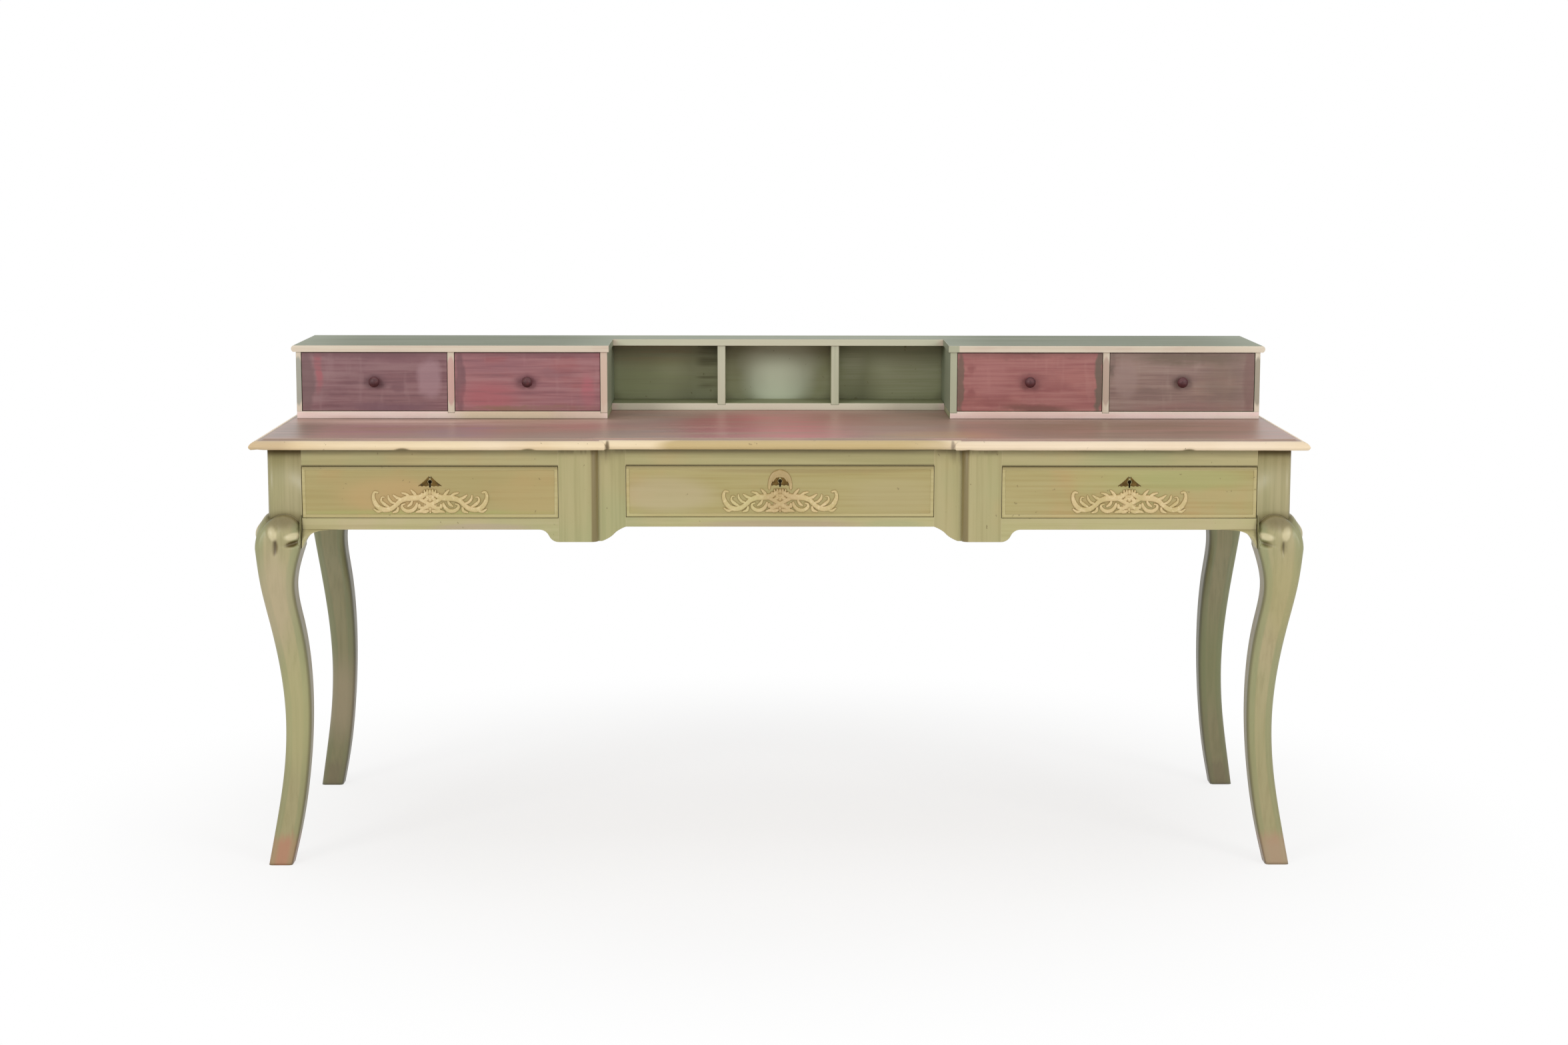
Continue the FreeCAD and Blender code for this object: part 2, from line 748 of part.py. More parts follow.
profile = doc.addObject("Sketcher::SketchObject", "moulding_profile")
corners, arcs = moulding_profile()
draw(profile, corners, arcs)
profile.Placement = Placement(Vector(), Rotation(Vector(1, 0, 0), 90))
bind(profile, "Placement.Base.x", X_SIDE + s.top_overhang)
bind(profile, "Placement.Base.z", Z_UNDER)
moulding = doc.addObject("Part::Sweep", "tabletop_moulding")
moulding.Label = "tabletop_moulding"
moulding.Sections = [profile]
moulding.Spine = (nosing, [])
moulding.Solid = True
moulding.Frenet = False
moulding.Transition = "Right corner"
node(moulding)


# ---------------------------------------------------------------- frieze drawers
DOVETAILS = 3           # at the front end of each drawer side
DOVETAIL_SLOPE = 6      # a tail widens by one in this


def tail_outlines(end, root, z0, z1):
    """The tails of one drawer side in Y and Z, spread evenly between two heights."""
    pitch = (z1 - z0) / DOVETAILS
    narrow = (pitch - s.dovetail_pin) / 2
    wide = narrow + (root - end) / DOVETAIL_SLOPE
    outlines = []
    for number in range(DOVETAILS):
        middle = z0 + pitch * (number + 0.5)
        outlines.append([(end, middle - wide), (root, middle - narrow), (root, middle + narrow),
                         (end, middle + wide)])
    return outlines


def draw_tails(body, x, tails):
    sketch = new_sketch(body, "YZ_Plane", x)
    for outline in tails:
        draw(sketch, outline)
    return sketch


def drawer_box(label, x, y, z, thick, bottom_rise, bottom_thick, groove, back_drop, tails=()):
    """Two grooved sides and a back, each its own solid, and where the bottom fits in them. With
    tails, the sides begin at the roots of the tails."""
    low, high = z
    bottom_z = (low + bottom_rise, low + bottom_rise + bottom_thick)
    inside = (x[0] + thick, x[1] - thick)
    boards = []
    for hand, outer, inner in (("left", x[0], inside[0]), ("right", inside[1], x[1])):
        side_board = board("%s_%s_side" % (label, hand), (outer, inner), y, (low, high))
        if tails:
            pad(side_board, draw_tails(side_board, outer, tails), thick)
        grooved = (inner - groove, inner) if hand == "left" else (outer, outer + groove)
        front_end = tails[0][0][0] if tails else y[0]
        cut_box(side_board, grooved, (front_end, y[1]), bottom_z)
        boards.append(side_board)
    boards.append(board(label + "_back", inside, (y[1] - thick, y[1]),
                        (bottom_z[1], high - back_drop)))
    return boards, inside, bottom_z


def draw_keyhole(sketch, x, z):
    """A round eye over a narrow tail, in one outline."""
    eye = s.keyhole_round / 2
    half = s.keyhole_slot / 2
    drop = Size("sqrt(%s)" % (eye * eye - half * half).text,
                math.sqrt((eye * eye - half * half).value))
    tail = z - drop - s.keyhole_tail
    corners = [(x - half, tail), (x + half, tail), (x + half, z - drop), (x, z + eye),
               (x - half, z - drop)]
    return draw(sketch, corners, {2: (eye, True), 3: (eye, True)})


def draw_mount(sketch, x, z):
    """The scrolled outline of the appliqué, its right half from the foot of the shell to the top
    and then mirrored. Each point is a share of the half width and half height, with the radius of
    the stretch after it as a share of the half width, below zero where the stretch is hollow."""
    scroll = [(0, -1, 0), (0.13, -0.7, 0), (0.2, -0.5, 0.75), (0.93, -0.3, 0), (1, 0.4, 0.07),
              (0.9, 0.6, 0), (0.82, 0.2, -0.45), (0.22, 0.25, 0), (0.12, 0.8, 0), (0, 1, 0)]
    wide, tall = s.mount_half, s.mount_half_height
    corners = [(x + wide * across, z + tall * up) for across, up, _ in scroll]
    corners += [(x - wide * across, z + tall * up) for across, up, _ in scroll[-2:0:-1]]
    bends = [bend for *_, bend in scroll[:-1]]
    arcs = {index: (wide * abs(bend), bend > 0)
            for index, bend in enumerate(bends + bends[::-1]) if bend}
    return draw(sketch, corners, arcs)


def frieze_drawer(name, x, face):
    gap = s.drawer_gap
    wide = (x[0] + gap, x[1] - gap)
    tall = (Z_OPEN + gap, Z_OPEN_TOP - gap)
    middle = (x[0] + x[1]) / 2
    sides = (x[0] + s.side_gap, x[1] - s.side_gap)
    front_back = face + s.front_thick
    run = (front_back, Y_PARTITION_END - s.drawer_short)
    side_z = (Z_OPEN + s.run_gap, Z_OPEN_TOP - s.side_drop)
    tails = tail_outlines(face + s.front_lap, front_back, tall[0], side_z[1])

    boards, inside, bottom_z = drawer_box(
        name, sides, run, side_z, s.side_thick, s.bottom_rise, s.bottom_thick, s.groove_depth,
        s.back_drop, tails)
    bottom_x = (inside[0] - s.groove_depth, inside[1] + s.groove_depth)
    boards.append(board(name + "_bottom", bottom_x, (front_back - s.groove_depth, run[1]),
                        bottom_z))
    group("%s_box" % name, boards)

    front = board("%s_front" % name, wide, (face, front_back), tall)
    pad_forward(front, rectangle(*wide, *tall), face - s.bead_proud, face)
    inner = rectangle(wide[0] + s.bead_width, wide[1] - s.bead_width,
                      tall[0] + s.bead_width, tall[1] - s.bead_width)
    cut_back(front, inner, face - s.bead_proud, face)
    for near, far in ((wide[0], inside[0]), (inside[1], wide[1])):
        pocket(front, draw_tails(front, far, tails), far - near)
    cut_box(front, bottom_x, (front_back - s.groove_depth, front_back), bottom_z)
    lock_x = (middle - s.lock_width / 2, middle + s.lock_width / 2)
    lock_y = (front_back - s.lock_thick, front_back)
    lock_z = (tall[1] - s.lock_height, tall[1])
    cut_box(front, lock_x, lock_y, lock_z)
    key_z = tall[1] - s.keyhole_drop
    sketch = draw_keyhole(new_sketch(front, "XZ_Plane", -face), middle, key_z)
    pocket(front, sketch, s.front_thick)
    node(front)

    lock = board("%s_lock" % name, lock_x, lock_y, lock_z)
    bolt_x = (middle - s.bolt_width / 2, middle + s.bolt_width / 2)
    bolt_front = lock_y[0] + s.lock_plate + s.bolt_gap
    bolt_y = (bolt_front, bolt_front + s.bolt_thick)
    bolt_top = tall[1] - s.bolt_rest
    channel = [(low_ - s.bolt_gap, high_ + s.bolt_gap) for low_, high_ in (bolt_x, bolt_y)]
    cut_box(lock, *channel, (bolt_top - s.bolt_length - s.bolt_gap, tall[1]))
    sketch = draw_keyhole(new_sketch(lock, "XZ_Plane", -lock_y[0]), middle, key_z)
    pocket(lock, sketch, s.lock_plate * 2)
    node(lock)

    node(board("%s_bolt" % name, bolt_x, bolt_y, (bolt_top - s.bolt_length, bolt_top)))

    mount = new_body("%s_mount" % name)
    mount_z = tall[0] + s.bead_width + s.mount_rise + s.mount_half_height
    pad(mount, draw_mount(new_sketch(mount, "XZ_Plane", -face), middle, mount_z), s.mount_thick)
    node(mount)


frieze_drawer("left_drawer", side_section("left"), Y_FRONT)
frieze_drawer("centre_drawer", centre_x, Y_CENTRE)
frieze_drawer("right_drawer", side_section("right"), Y_FRONT)


# ---------------------------------------------------------------- gallery
Y_GALLERY_BACK = Y_BACK - s.gallery_inset
Y_GALLERY = Y_GALLERY_BACK - s.gallery_depth
Y_RECESS = Y_GALLERY + s.gallery_recess
Y_PANEL = Y_GALLERY_BACK - s.gallery_back_thick
Z_BASE = (s.top_height, s.top_height + s.gallery_base_thick)
Z_CELL = (Z_BASE[1], Z_BASE[1] + s.gallery_opening)
Z_LID = (Z_CELL[1], Z_CELL[1] + s.gallery_top_thick)
X_INNER = (s.centre_half, s.centre_half + s.gallery_inner_thick)
X_END = (X_SIDE - s.gallery_end_thick, X_SIDE)
X_DIVIDER = (X_INNER[1] + X_END[0]) / 2
DIVIDER = (X_DIVIDER - s.gallery_divider_thick / 2, X_DIVIDER + s.gallery_divider_thick / 2)
CELL_WIDTH = (s.centre_half * 2 - s.pigeonhole_divider_thick * 2) / 3
PIGEON = (CELL_WIDTH / 2, CELL_WIDTH / 2 + s.pigeonhole_divider_thick)


def u_plan(over, side_over):
    """The gallery in plan: two side sections in front of a recessed centre."""
    half = X_SIDE + side_over
    corner = s.centre_half - over
    return [(-half, Y_GALLERY - over), (-corner, Y_GALLERY - over), (-corner, Y_RECESS - over),
            (corner, Y_RECESS - over), (corner, Y_GALLERY - over), (half, Y_GALLERY - over),
            (half, Y_GALLERY_BACK), (-half, Y_GALLERY_BACK)]


base = new_body("gallery_base")
pad_up(base, u_plan(ZERO, ZERO), *Z_BASE)
lid = new_body("gallery_top")
half_lid = s.gallery_top_thick / 2
pad_up(lid, u_plan(s.gallery_top_over, s.gallery_top_side - half_lid), *Z_LID)
for side in SIDES.values():
    root = X_SIDE * side
    rim = (X_SIDE + s.gallery_top_side - half_lid) * side
    pad_forward(lid, [(root, Z_LID[0]), (rim, Z_LID[0]), (rim, Z_LID[1]), (root, Z_LID[1])],
                Y_GALLERY - s.gallery_top_over, Y_GALLERY_BACK,
                arcs={1: (s.gallery_top_round, side > 0)})


def house(x, y):
    """Grooves in base and top for an upright between two X planes."""
    cut_box(base, x, y, (Z_BASE[1] - s.housing, Z_BASE[1]))
    cut_box(lid, x, y, (Z_LID[0], Z_LID[0] + s.housing))


Z_UPRIGHT = (Z_CELL[0] - s.housing, Z_CELL[1] + s.housing)
for hand, side in SIDES.items():
    uprights = {
        "gallery_end_%s": (X_END, (Y_GALLERY, Y_GALLERY_BACK), Z_CELL),
        "gallery_inner_%s": (X_INNER, (Y_GALLERY, Y_PANEL), Z_UPRIGHT),
        "gallery_divider_%s": (DIVIDER, (Y_GALLERY, Y_PANEL), Z_UPRIGHT),
        "pigeonhole_divider_%s": (PIGEON, (Y_RECESS, Y_PANEL), Z_UPRIGHT),
    }
    for label, (x, y, z) in uprights.items():
        x = span(side, *x)
        node(board(label % hand, x, y, z))
        if z is Z_UPRIGHT:
            house(x, y)
node(base)
node(lid)
node(board("gallery_back", (-X_END[0], X_END[0]), (Y_PANEL, Y_GALLERY_BACK), Z_CELL))


# ---------------------------------------------------------------- gallery drawers
def turned_knob(label, x, y, z):
    """A small mushroom knob on a stem, turned about Y, its shoulder on the drawer front."""
    knob = new_body(label)
    sketch = new_sketch(knob, "XY_Plane")
    stem, rim, crown = (size / 2 for size in (s.knob_stem, s.knob_round, s.knob_crown))
    draw(sketch, [(0, s.small_front_thick), (stem, s.small_front_thick), (stem, -s.knob_neck_out),
                  (rim, -s.knob_rim_out), (crown, -s.knob_crown_out), (0, -s.knob_reach)])
    turn = knob.newObject("PartDesign::Revolution", "Turning")
    turn.Profile = sketch
    turn.ReferenceAxis = (sketch, ["V_Axis"])
    turn.Angle = 360
    place(knob, x, y, z)
    return knob


def gallery_drawer(number, x):
    name = "gallery_drawer_%d" % number
    face = Y_GALLERY + s.small_set_in
    wide = (x[0] + s.small_gap, x[1] - s.small_gap)
    tall = (Z_CELL[0] + s.small_gap, Z_CELL[1] - s.small_gap)
    side_z = (Z_CELL[0] + s.run_gap, Z_CELL[1] - s.small_side_drop)
    run = (face + s.small_front_lap, Y_PANEL - s.small_short)
    boards, inside, bottom_z = drawer_box(
        name, wide, run, side_z, s.small_side_thick, s.small_bottom_rise, s.small_bottom_thick,
        s.small_groove, s.back_drop)
    front_back = face + s.small_front_thick
    boards.append(board(
        name + "_bottom", (inside[0] - s.small_groove, inside[1] + s.small_groove),
        (front_back - s.small_groove, run[1]), bottom_z))
    front = board(name + "_face", wide, (face, front_back), tall)
    for lap in ((wide[0], inside[0]), (inside[1], wide[1])):
        cut_box(front, lap, (run[0], front_back), (tall[0], side_z[1]))
    cut_box(front, inside, (front_back - s.small_groove, front_back), bottom_z)
    middle = (x[0] + x[1]) / 2
    centre_z = (tall[0] + tall[1]) / 2
    sketch = circle(new_sketch(front, "XZ_Plane", -face), middle, centre_z, s.knob_stem / 2)
    pocket(front, sketch, s.small_front_thick)
    group(name + "_box", boards)
    group(name + "_front", [front, turned_knob(name + "_knob", middle, face, centre_z)])


small_cells = [span(-1, DIVIDER[1], X_END[0]), span(-1, X_INNER[1], DIVIDER[0]),
               span(1, X_INNER[1], DIVIDER[0]), span(1, DIVIDER[1], X_END[0])]
for number, cell in enumerate(small_cells, start=1):
    gallery_drawer(number, cell)


# ---------------------------------------------------------------- recompute, check and write
doc.recompute()
for obj in doc.Objects:
    if {"Invalid", "Error"} & set(obj.State):
        raise RuntimeError("%s failed: %s" % (obj.Label, obj.State))
for obj in nodes:
    if obj.Shape.isNull() or not obj.Shape.isValid() or not obj.Shape.Solids:
        raise RuntimeError("%s has no valid solid" % obj.Label)

os.makedirs("parts", exist_ok=True)
for obj in nodes:
    obj.Shape.exportStep("parts/%s.step" % obj.Label)
print("%d nodes, %d solids" % (len(nodes), sum(len(obj.Shape.Solids) for obj in nodes)))
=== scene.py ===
import math

import bmesh
import bpy
import numpy as np
from mathutils import Matrix, Vector, noise


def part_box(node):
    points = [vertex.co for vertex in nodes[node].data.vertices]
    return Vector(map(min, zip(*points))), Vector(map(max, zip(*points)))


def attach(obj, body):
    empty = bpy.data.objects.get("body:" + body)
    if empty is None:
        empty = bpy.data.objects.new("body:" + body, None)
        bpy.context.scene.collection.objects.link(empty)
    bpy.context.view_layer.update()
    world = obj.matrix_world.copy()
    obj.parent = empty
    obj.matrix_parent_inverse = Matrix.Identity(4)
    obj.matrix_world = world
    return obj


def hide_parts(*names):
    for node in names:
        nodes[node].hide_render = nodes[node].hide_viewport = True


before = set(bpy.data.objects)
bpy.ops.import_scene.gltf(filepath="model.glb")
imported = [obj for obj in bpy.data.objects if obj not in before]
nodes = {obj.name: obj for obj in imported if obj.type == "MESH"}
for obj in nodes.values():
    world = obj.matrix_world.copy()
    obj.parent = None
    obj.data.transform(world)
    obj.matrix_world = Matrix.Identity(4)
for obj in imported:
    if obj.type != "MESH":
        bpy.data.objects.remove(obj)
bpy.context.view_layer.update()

mm = 0.001


def linear(colour):
    # paint colours are written as 0-255 screen values
    parts = [c / 255 for c in colour]
    return tuple(c / 12.92 if c <= 0.04045 else ((c + 0.055) / 1.055) ** 2.4 for c in parts) + (1,)


class Wire:
    # one output socket; arithmetic on it adds Math nodes
    def __init__(self, finish, socket):
        self.finish = finish
        self.socket = socket

    def maths(self, operation, first, second, clamp=False):
        return self.finish.node("ShaderNodeMath", {"operation": operation, "use_clamp": clamp},
                                {0: first, 1: second})

    def __add__(self, other):
        return self.maths("ADD", self, other)

    def __sub__(self, other):
        return self.maths("SUBTRACT", self, other)

    def __rsub__(self, other):
        return self.maths("SUBTRACT", other, self)

    def __mul__(self, other):
        return self.maths("MULTIPLY", self, other)

    def clamped(self):
        return self.maths("ADD", self, 0.0, clamp=True)

    def swing(self, amount):
        # noise round zero
        return (self - 0.5) * amount


class Finish:
    # a material or another node tree, filled through one method
    def __init__(self, name, tree=None):
        self.tree = tree
        if tree is None:
            self.material = bpy.data.materials.new(name)
            self.material.use_nodes = True
            self.tree = self.material.node_tree
            self.tree.nodes.clear()
            self.place = self.node("ShaderNodeTexCoord", out="Object")

    def node(self, kind, settings=None, sockets=None, out=0):
        made = self.tree.nodes.new(kind)
        for key, value in (settings or {}).items():
            setattr(made, key, value)
        for key, value in (sockets or {}).items():
            if isinstance(value, Wire):
                self.tree.links.new(value.socket, made.inputs[key])
            else:
                made.inputs[key].default_value = value
        return Wire(self, made.outputs[out]) if made.outputs else made

    def mixed(self, amount, under, over, way="MIX"):
        return self.node("ShaderNodeMix", {"data_type": "RGBA", "blend_type": way},
                         {0: amount, 6: under, 7: over}, out=2)

    def noise(self, stretch, detail, rough, offset=(0, 0, 0)):
        moved = self.node("ShaderNodeMapping", None,
                          {"Vector": self.place, "Scale": stretch, "Location": offset})
        return self.node("ShaderNodeTexNoise", None,
                         {"Vector": moved, "Scale": 1.0, "Detail": detail, "Roughness": rough})

    def vectors(self, operation, *values, out="Vector"):
        return self.node("ShaderNodeVectorMath", {"operation": operation}, dict(enumerate(values)), out)

    def axis(self, vector, name):
        return self.node("ShaderNodeSeparateXYZ", None, {"Vector": vector}, name)

    def stored(self, name):
        return self.node("ShaderNodeAttribute", {"attribute_name": name}, None, "Fac")

    def normal(self):
        return self.node("ShaderNodeNewGeometry", out="Normal")

    def between(self, value, low, high, start=0.0, end=1.0):
        return self.node("ShaderNodeMapRange", {"interpolation_type": "SMOOTHSTEP"},
                         {0: value, 1: low, 2: high, 3: start, 4: end})

    def roughness(self, value, low, high):
        return self.between(value, 0.3, 0.7, low, high)

    def hold(self, first, second, least):
        # how well a soft patch holds on the grain
        return self.between(first + second, 0.86, 1.12, least, 1.0)

    def ground(self, value, low, high, first, second):
        # two tints, the second where the value passes from low to high
        return self.mixed(self.between(value, low, high), linear(first), linear(second))

    def layered(self, tone, *layers, way="MIX"):
        # tints laid over each other: value, low, high, amount, tint
        for value, low, high, amount, tint in layers:
            tone = self.mixed(self.between(value, low, high) * amount, tone, linear(tint), way)
        return tone

    def near(self, place, middle, reach, soft):
        # 1 inside an ellipsoid, 0 outside it
        local = self.node("ShaderNodeMapping", {"vector_type": "TEXTURE"},
                          {"Vector": place, "Location": middle, "Scale": reach})
        return self.between(self.vectors("LENGTH", local, out="Value"), 1 + soft, 1 - soft)

    def wandering(self, place, amount, size):
        # the same place, moved about a little so that outlines waver
        stir = self.node("ShaderNodeTexNoise", None, {"Vector": place, "Scale": size, "Detail": 3.0}, "Color")
        shift = self.vectors("SUBTRACT", stir, (0.5, 0.5, 0.5))
        return self.vectors("MULTIPLY_ADD", shift, (amount, 0, amount), place)

    def patched(self, tone, patches, grip=1.0, place=None):
        # the grip breaks up soft patches and leaves sharp ones whole
        place = place or self.place
        mirrored = self.vectors("ABSOLUTE", place)
        for spot in patches:
            mask = self.near(mirrored if spot["both"] else place, spot["middle"], spot["reach"], spot["soft"])
            tone = self.mixed(mask * (grip if spot["soft"] > 0.45 else 1.0) * spot["amount"],
                              tone, linear(spot["tint"]))
        return tone

    def bareBehind(self, tone, grain):
        # the back of a drawer front is left as bare pine
        pine = self.ground(grain, 0.36, 0.64, (190, 157, 109), (174, 138, 92))
        return self.mixed(self.between(self.axis(self.normal(), "Y"), 0.5, 0.8), tone, pine)

    def edges(self, radius):
        # 0 on flats, rising where the surface turns within the radius in millimetres
        rounded = self.node("ShaderNodeBevel", {"samples": 4}, {"Radius": radius * mm})
        return 1 - self.vectors("DOT_PRODUCT", rounded, self.normal(), out="Value")

    def crevices(self, reach):
        # 1 where ambient occlusion finds corners and hollows; used for painted shade
        return 1 - self.node("ShaderNodeAmbientOcclusion", {"samples": 6}, {"Distance": reach}, "AO")

    def finished(self, colour, rough, height, depth, strength, **constants):
        bump = self.node("ShaderNodeBump", None, {"Strength": strength, "Distance": depth, "Height": height})
        shader = self.node("ShaderNodeBsdfPrincipled", None,
                           {"Base Color": colour, "Roughness": rough, "Normal": bump})
        for key, value in constants.items():
            shader.socket.node.inputs[key.replace("_", " ")].default_value = value
        self.node("ShaderNodeOutputMaterial", None, {"Surface": shader})
        return self.material


# where brush marks turn light and dark, and how sharply an arris is worn
lightStreak = (0.40, 0.62)
darkStreak = (0.52, 0.30)
arrisWear = (0.06, 0.22)
# grain direction: how far noise stretches per metre along each axis
grainAcross = (3.2, 150, 150)
grainUpright = (150, 150, 3.2)
grainDeep = (150, 3.2, 150)


def scaled(grain, along, across):
    return tuple(g * (along if g < 10 else across) for g in grain)


def patch(tint, middle, reach, amount, soft=0.4, both=False):
    # a place with its own tint, metres; both repeats it on the left half
    return {"tint": tint, "middle": middle, "reach": reach, "amount": amount, "soft": soft, "both": both}


# the desk's planes in metres: side and centre sections, their break, table, pigeonhole back
plane = {"side": -0.318, "centre": -0.305, "break": 0.318, "table": 0.76, "back": 0.264}


def onFront(tint, x, z, wide, high, amount, soft=0.4):
    # on a frieze drawer or a rail
    y = plane["centre"] if abs(x) < plane["break"] else plane["side"]
    return patch(tint, (x, y, z), (wide, 0.1, high), amount, soft)


def onTop(tint, x, y, wide, deep, amount, soft=0.6):
    return patch(tint, (x, y, plane["table"]), (wide, deep, 0.1), amount, soft)


def onNosing(tint, x, half, z=0.75, high=0.04, amount=0.9, soft=0.4, y=-0.338, deep=0.03):
    return patch(tint, (x, y, z), (half, deep, high), amount, soft)


def onBoardEdge(tint, x, half, amount, soft, z=0.83, high=0.4):
    return patch(tint, (x, 0.1, z), (half, 0.4, high), amount, soft)


def onBack(tint, x, z, wide, high, amount=0.7, soft=0.5):
    # inside the pigeonholes
    return patch(tint, (x, plane["back"], z), (wide, 0.006, high), amount, soft)


def smear(tint, x, z, wide, high, amount=0.65, soft=0.5):
    # on a gallery drawer face: middle and half sizes in millimetres
    return patch(tint, (x * mm, 0.02, z * mm), (wide * mm, 0.05, high * mm), amount, soft)


print("stage: finishes")


def paintedWood(name, paint, grain):
    f = Finish(name)
    shift, size = paint["shift"], paint["blotch"]
    brush = f.noise(grain, 4, 0.6, shift)
    sweep = f.noise(scaled(grain, 1, 0.16), 3, 0.55, shift)
    hair = f.noise(scaled(grain, 2.6, 2.6), 2, 0.5)
    blotch = f.noise((size,) * 3, 3, 0.55, shift)
    cool = f.noise((size * 0.7,) * 3, 2, 0.5, (7.3, 2.1, 4.4))
    tone = f.layered(f.ground(sweep, 0.38, 0.64, paint["base"], paint["second"]),
                     (blotch, 0.50, 0.68, paint["warmth"], paint["warm"]),
                     (cool, 0.52, 0.70, paint["coolness"], paint["cool"]),
                     (brush, *lightStreak, paint["streak"], paint["light"]),
                     (brush, *darkStreak, paint["streak"], paint["dark"]))
    tone = f.patched(tone, paint["patches"], f.hold(sweep, brush, 0.15))
    if "cap" in paint:
        # the inner part of the edge moulding is painted with the table
        cap = f.ground(blotch, 0.4, 0.62, paint["cap"], paint["capSecond"])
        tone = f.mixed(f.between(f.stored("inward") + brush.swing(0.06), 0.50, 0.58), tone, cap)
    # paint rubbed thin on the arrises
    rubbed = f.edges(paint["arris"]) + blotch.swing(0.25)
    tone = f.layered(tone, (rubbed, *arrisWear, paint["rub"], paint["edge"]))
    if "bareBack" in paint:
        tone = f.bareBehind(tone, brush)
    # painted shade in the corners, then pinholes and knocks
    wax = f.crevices(0.022) + sweep.swing(0.3)
    tone = f.layered(tone, (wax, 0.30, 0.78, paint["wax"], paint["dirt"]), way="MULTIPLY")
    tone = f.layered(tone, (f.noise((95, 95, 95), 2, 0.6, (3, 5, 8)), 0.71, 0.75, 0.55, paint["dirt"]))
    rough = f.roughness(brush, paint["rough"] - 0.06, paint["rough"] + 0.10)
    return f.finished(tone, rough, brush * 0.6 + hair * 0.4, 0.0004, 0.35, Coat_Weight=paint["coat"],
                      Coat_Roughness=0.35, Specular_IOR_Level=paint.get("sheen", 0.5))


shade = (112, 98, 56)
# the shade that gathers under the edge of the top, over a drawer and in the return of a junction block
underTop = patch(shade, (0, 0, 0.744), (4, 4, 0.0105), 0.66, 0.5)
overDrawer = patch((98, 86, 44), (0, -0.318, 0.7112), (4, 0.03, 0.0022), 0.85, 0.3)
blockShade = []
for side in (-1, 1):
    blockShade.append(patch(shade, (0.3125 * side, -0.31, 0.736), (0.015, 0.06, 0.019), 0.5, 0.6))
    blockShade.append(patch((122, 106, 64), (0.3238 * side, -0.31, 0.66), (0.0058, 0.06, 4), 0.85, 0.35))

olive = dict(
    base=(176, 165, 118), second=(169, 161, 112), warm=(180, 160, 110), cool=(160, 163, 114),
    light=(188, 178, 132), dark=(150, 139, 92), edge=(198, 184, 146), dirt=shade,
    blotch=7.0, warmth=0.6, coolness=0.6, streak=0.26, arris=2.2, rub=0.5, wax=0.6,
    rough=0.46, coat=0.12, shift=(0, 0, 0), patches=[underTop, overDrawer] + blockShade)
uprightOlive = dict(olive, shift=(6, 1, 2), patches=[underTop] + blockShade)
drawerOlive = dict(
    olive, bareBack=True, base=(173, 158, 104), second=(168, 153, 96), warm=(180, 151, 97),
    cool=(170, 168, 106), dark=(148, 130, 78), streak=0.22, warmth=0.9, shift=(4, 1, 2), patches=[
        onFront((164, 146, 92), -0.61, 0.66, 0.24, 0.06, 0.45),
        onFront((188, 156, 104), -0.68, 0.66, 0.085, 0.03, 0.6),
        onFront((166, 168, 100), -0.62, 0.627, 0.24, 0.008, 0.5),
        onFront((182, 158, 104), -0.43, 0.66, 0.06, 0.04, 0.4),
        onFront((178, 164, 118), 0.2, 0.655, 0.07, 0.03, 0.5),
        onFront((186, 171, 134), -0.2, 0.66, 0.08, 0.03, 0.6),
        onFront((150, 130, 84), 0.05, 0.704, 0.19, 0.006, 0.5),
        onFront((164, 168, 106), 0.72, 0.69, 0.09, 0.02, 0.5)])
# the cock bead: the drawer paint made lighter as a painted highlight, with painted shade along its top under
# the rail
beadOliveLit = dict(
    drawerOlive, wax=0.3, base=(184, 171, 118), second=(180, 165, 110), warm=(188, 165, 110),
    cool=(178, 177, 118), light=(202, 190, 142), dark=(160, 143, 90),
    patches=[patch((150, 136, 88), (0, -0.31, 0.7095), (4, 4, 0.0038), 0.75)])
railOlive = dict(
    olive, wax=0.2, base=(181, 173, 121), second=(178, 167, 119), warm=(190, 170, 134), streak=0.2,
    light=(198, 186, 148), shift=(1, 6, 3), patches=[
        onFront((178, 160, 138), -0.52, 0.603, 0.08, 0.007, 0.6),
        onFront((174, 152, 128), 0.0, 0.606, 0.14, 0.009, 0.6),
        onFront((164, 166, 122), 0.2, 0.606, 0.05, 0.009, 0.5)])
legPaint = dict(
    olive, base=(168, 158, 116), second=(162, 155, 110), light=(182, 170, 128), dark=(140, 131, 86),
    cool=(140, 146, 102), warm=(174, 156, 118), foot=(176, 124, 96), footAmount=0.85, patches=[
        underTop,
        # painted shade under the shoulder of each front knee
        patch((104, 90, 52), (0.868, 0.35, 0.616), (0.036, 0.06, 0.013), 0.7, 0.7, both=True),
        patch((190, 170, 140), (-0.885, -0.34, 0.47), (0.03, 0.06, 0.09), 0.5, 0.5),
        patch((176, 170, 118), (-0.855, -0.31, 0.27), (0.03, 0.06, 0.10), 0.5, 0.5),
        patch((172, 160, 108), (0.885, -0.34, 0.48), (0.03, 0.06, 0.08), 0.5, 0.5),
        patch((166, 146, 116), (0.875, -0.31, 0.0), (0.05, 0.06, 0.05), 0.8, 0.4)])
# the rear legs: the front legs' paint made darker as painted shade
rearPaintShaded = dict(
    legPaint, base=(136, 130, 94), second=(128, 126, 90), light=(150, 142, 108), dark=(112, 106, 72),
    cool=(118, 124, 88), warm=(142, 128, 100), foot=(110, 96, 74), footAmount=0.5, patches=[
        underTop,
        patch((116, 122, 78), (0.86, 0.3, 0.25), (0.06, 0.1, 0.1), 0.5, 0.5),
        patch((162, 146, 120), (-0.86, 0.3, 0.18), (0.06, 0.1, 0.08), 0.55, 0.5)])
